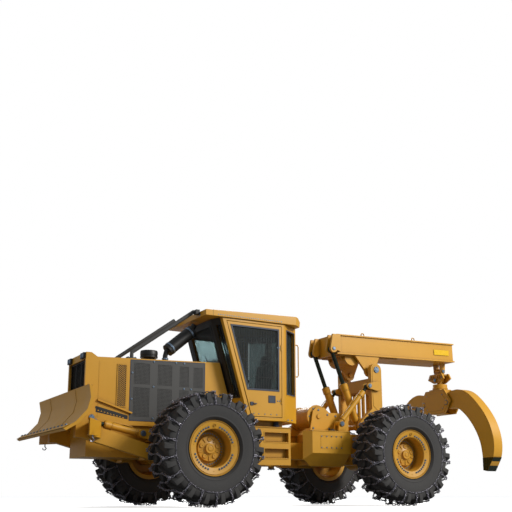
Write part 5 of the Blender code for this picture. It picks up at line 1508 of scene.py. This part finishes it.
# ---- Carried-over solids ------------------------------------------------------------------------------
NODE_FINISH = {
    "powder_coat_grey": ("limb_riser_left", "limb_riser_right", "engine_block"),
    "satin_black": ("exhaust",),
    "tinted_glass": ("front_glass", "rear_glass", "door_window_left", "door_window_right"),
    "plated_rod": tuple(f"{kind}_{side}_rod" for kind in ("blade", "arch", "boom")
                        for side in ("left", "right")),
}
THIN_NODES = ("front_glass", "rear_glass", "door_window_left", "door_window_right")


class SKIDDER_OT_paint_solids(Operator):
    """Paint, rounded edges and smooth shading for every solid that stays"""

    bl_idname = "skidder.paint_solids"
    bl_label = "Paint the solids"

    def execute(self, context):
        finish = {name: kind for kind, names in NODE_FINISH.items() for name in names}
        for name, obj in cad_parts.items():
            if obj.hide_render:
                continue
            material = MATERIALS[finish.get(name, "sprayed_enamel")]
            obj.data.materials.clear()
            obj.data.materials.append(material)
            soften(obj, 0.001 if name in THIN_NODES else settings().fittings.edge)
        return {"FINISHED"}


# ---- Stage --------------------------------------------------------------------------------------------
EYE = Vector((7.562, 12.745, 0.20))
HEADING = radians(240.5)       # of the lens's axis over the floor, from +X towards +Y
HORIZON_DROP = 0.466           # level horizon below the middle, as a share of the frame's width


def area_light(name, place, target, size, power, tone):
    data = bpy.data.lights.new(name, "AREA")
    data.shape, data.size, data.energy, data.color = "DISK", size, power, tone
    obj = bpy.data.objects.new(name, data)
    obj.location = place
    obj.rotation_mode = "QUATERNION"
    obj.rotation_quaternion = (Vector(target) - Vector(place)).to_track_quat("-Z", "Y")
    bpy.context.scene.collection.objects.link(obj)


class SKIDDER_OT_stage(Operator):
    """Floor, lamps, room light and camera"""

    bl_idname = "skidder.stage"
    bl_label = "Stage"

    def execute(self, context):
        stage, scene = settings().stage, context.scene
        bm = bmesh.new()
        bmesh.ops.create_circle(bm, cap_ends=True, segments=96, radius=90)
        mesh = bpy.data.meshes.new("studio_floor")
        bm.to_mesh(mesh)
        bm.free()
        floor = bpy.data.objects.new("studio_floor", mesh)
        scene.collection.objects.link(floor)
        # Matt painted studio floor with a faint roller texture.  To the lens it glows a little, so that it
        # runs into the white behind it, and it throws back less light than it shows.
        paint = surface("painted_floor", settings().colours.floor, 0.7, mottle=(1.5, 0.01),
                        grain=(0.01, 0.0002))
        tree = paint.node_tree
        seen = node(tree, "ShaderNodeLightPath").outputs["Is Camera Ray"]
        dull = node(tree, "ShaderNodeBsdfDiffuse", {"Color": (0.30, 0.30, 0.30, 1.0)})
        glow = node(tree, "ShaderNodeEmission", {"Color": (1, 1, 1, 1), "Strength": stage.glow})
        lit = node(tree, "ShaderNodeAddShader",
                   {0: tree.nodes["Principled BSDF"].outputs[0], 1: glow.outputs[0]})
        both = node(tree, "ShaderNodeMixShader", {0: seen, 1: dull.outputs[0], 2: lit.outputs[0]})
        tree.links.new(both.outputs[0], tree.nodes["Material Output"].inputs["Surface"])
        mesh.materials.append(paint)

        world = bpy.data.worlds.new("studio")
        world.use_nodes = True
        tree = world.node_tree
        tree.nodes.clear()
        path = node(tree, "ShaderNodeLightPath")
        seen = node(tree, "ShaderNodeMath", {0: path.outputs["Is Camera Ray"],
                                             1: path.outputs["Is Transmission Ray"]}, operation="MAXIMUM")
        room = node(tree, "ShaderNodeBackground", {"Color": (0.93, 0.96, 1.0, 1.0), "Strength": stage.room})
        white = node(tree, "ShaderNodeBackground", {"Color": (1, 1, 1, 1), "Strength": 1.0})
        both = node(tree, "ShaderNodeMixShader",
                    {0: seen.outputs[0], 1: room.outputs[0], 2: white.outputs[0]})
        node(tree, "ShaderNodeOutputWorld", {"Surface": both.outputs[0]})
        scene.world = world

        area_light("key_lamp", (-13.0, 17.0, 14.0), (0, 0, 1.3), 7.0, stage.key, (1.0, 0.97, 0.92))
        area_light("back_lamp", (-5.0, -15.0, 8.0), (0, 0, 1.3), 6.0, stage.key * 0.25, (0.96, 0.98, 1.0))
        area_light("fill_lamp", (10.0, 10.0, 5.0), (1, 0, 1.0), 6.0, stage.fill, (0.95, 0.97, 1.0))

        data = bpy.data.cameras.new("studio_camera")
        data.sensor_width = 36
        data.lens = stage.lens * 1000
        data.shift_y = stage.shift
        data.clip_end = 500
        camera = bpy.data.objects.new("studio_camera", data)
        rise = atan2((HORIZON_DROP - stage.shift) * data.sensor_width, data.lens)
        ahead = Vector((cos(HEADING) * cos(rise), sin(HEADING) * cos(rise), sin(rise)))
        camera.location = EYE
        camera.rotation_mode = "QUATERNION"
        camera.rotation_quaternion = ahead.to_track_quat("-Z", "Y")
        scene.collection.objects.link(camera)
        scene.camera = camera
        scene.view_settings.view_transform = "Standard"
        return {"FINISHED"}


# ---- Add-on -------------------------------------------------------------------------------------------
class SKIDDER_PG_settings(PropertyGroup):
    colours: PointerProperty(type=SKIDDER_PG_colours)
    wheels: PointerProperty(type=SKIDDER_PG_wheels)
    fittings: PointerProperty(type=SKIDDER_PG_fittings)
    stage: PointerProperty(type=SKIDDER_PG_stage)


OPERATORS = (SKIDDER_OT_tyres, SKIDDER_OT_tyre_chains, SKIDDER_OT_rims, SKIDDER_OT_hood, SKIDDER_OT_cab,
             SKIDDER_OT_doors, SKIDDER_OT_seat, SKIDDER_OT_blade, SKIDDER_OT_cylinders, SKIDDER_OT_frames,
             SKIDDER_OT_boom, SKIDDER_OT_grapple, SKIDDER_OT_paint_solids, SKIDDER_OT_stage)


class SKIDDER_PT_panel(Panel):
    """Sidebar tab with the sizes and colours, and a button for each group of pieces"""

    bl_idname = "SKIDDER_PT_panel"
    bl_label = "Skidder finish"
    bl_space_type = "VIEW_3D"
    bl_region_type = "UI"
    bl_category = "Skidder"

    def draw(self, context):
        for group in (context.scene.skidder.colours, context.scene.skidder.wheels,
                      context.scene.skidder.fittings, context.scene.skidder.stage):
            box = self.layout.box()
            for prop in group.bl_rna.properties:
                if not prop.is_readonly and prop.identifier != "name":
                    box.prop(group, prop.identifier)
        for operator in OPERATORS:
            self.layout.operator(operator.bl_idname)


CLASSES = (SKIDDER_PG_colours, SKIDDER_PG_wheels, SKIDDER_PG_fittings, SKIDDER_PG_stage, SKIDDER_PG_settings,
           *OPERATORS, SKIDDER_PT_panel)


def register():
    for cls in CLASSES:
        bpy.utils.register_class(cls)
    bpy.types.Scene.skidder = PointerProperty(type=SKIDDER_PG_settings)


def unregister():
    del bpy.types.Scene.skidder
    for cls in reversed(CLASSES):
        bpy.utils.unregister_class(cls)


def main():
    register()
    make_materials()
    for operator in OPERATORS:
        group, name = operator.bl_idname.split(".")
        getattr(getattr(bpy.ops, group), name)()


if __name__ == "__main__":
    main()
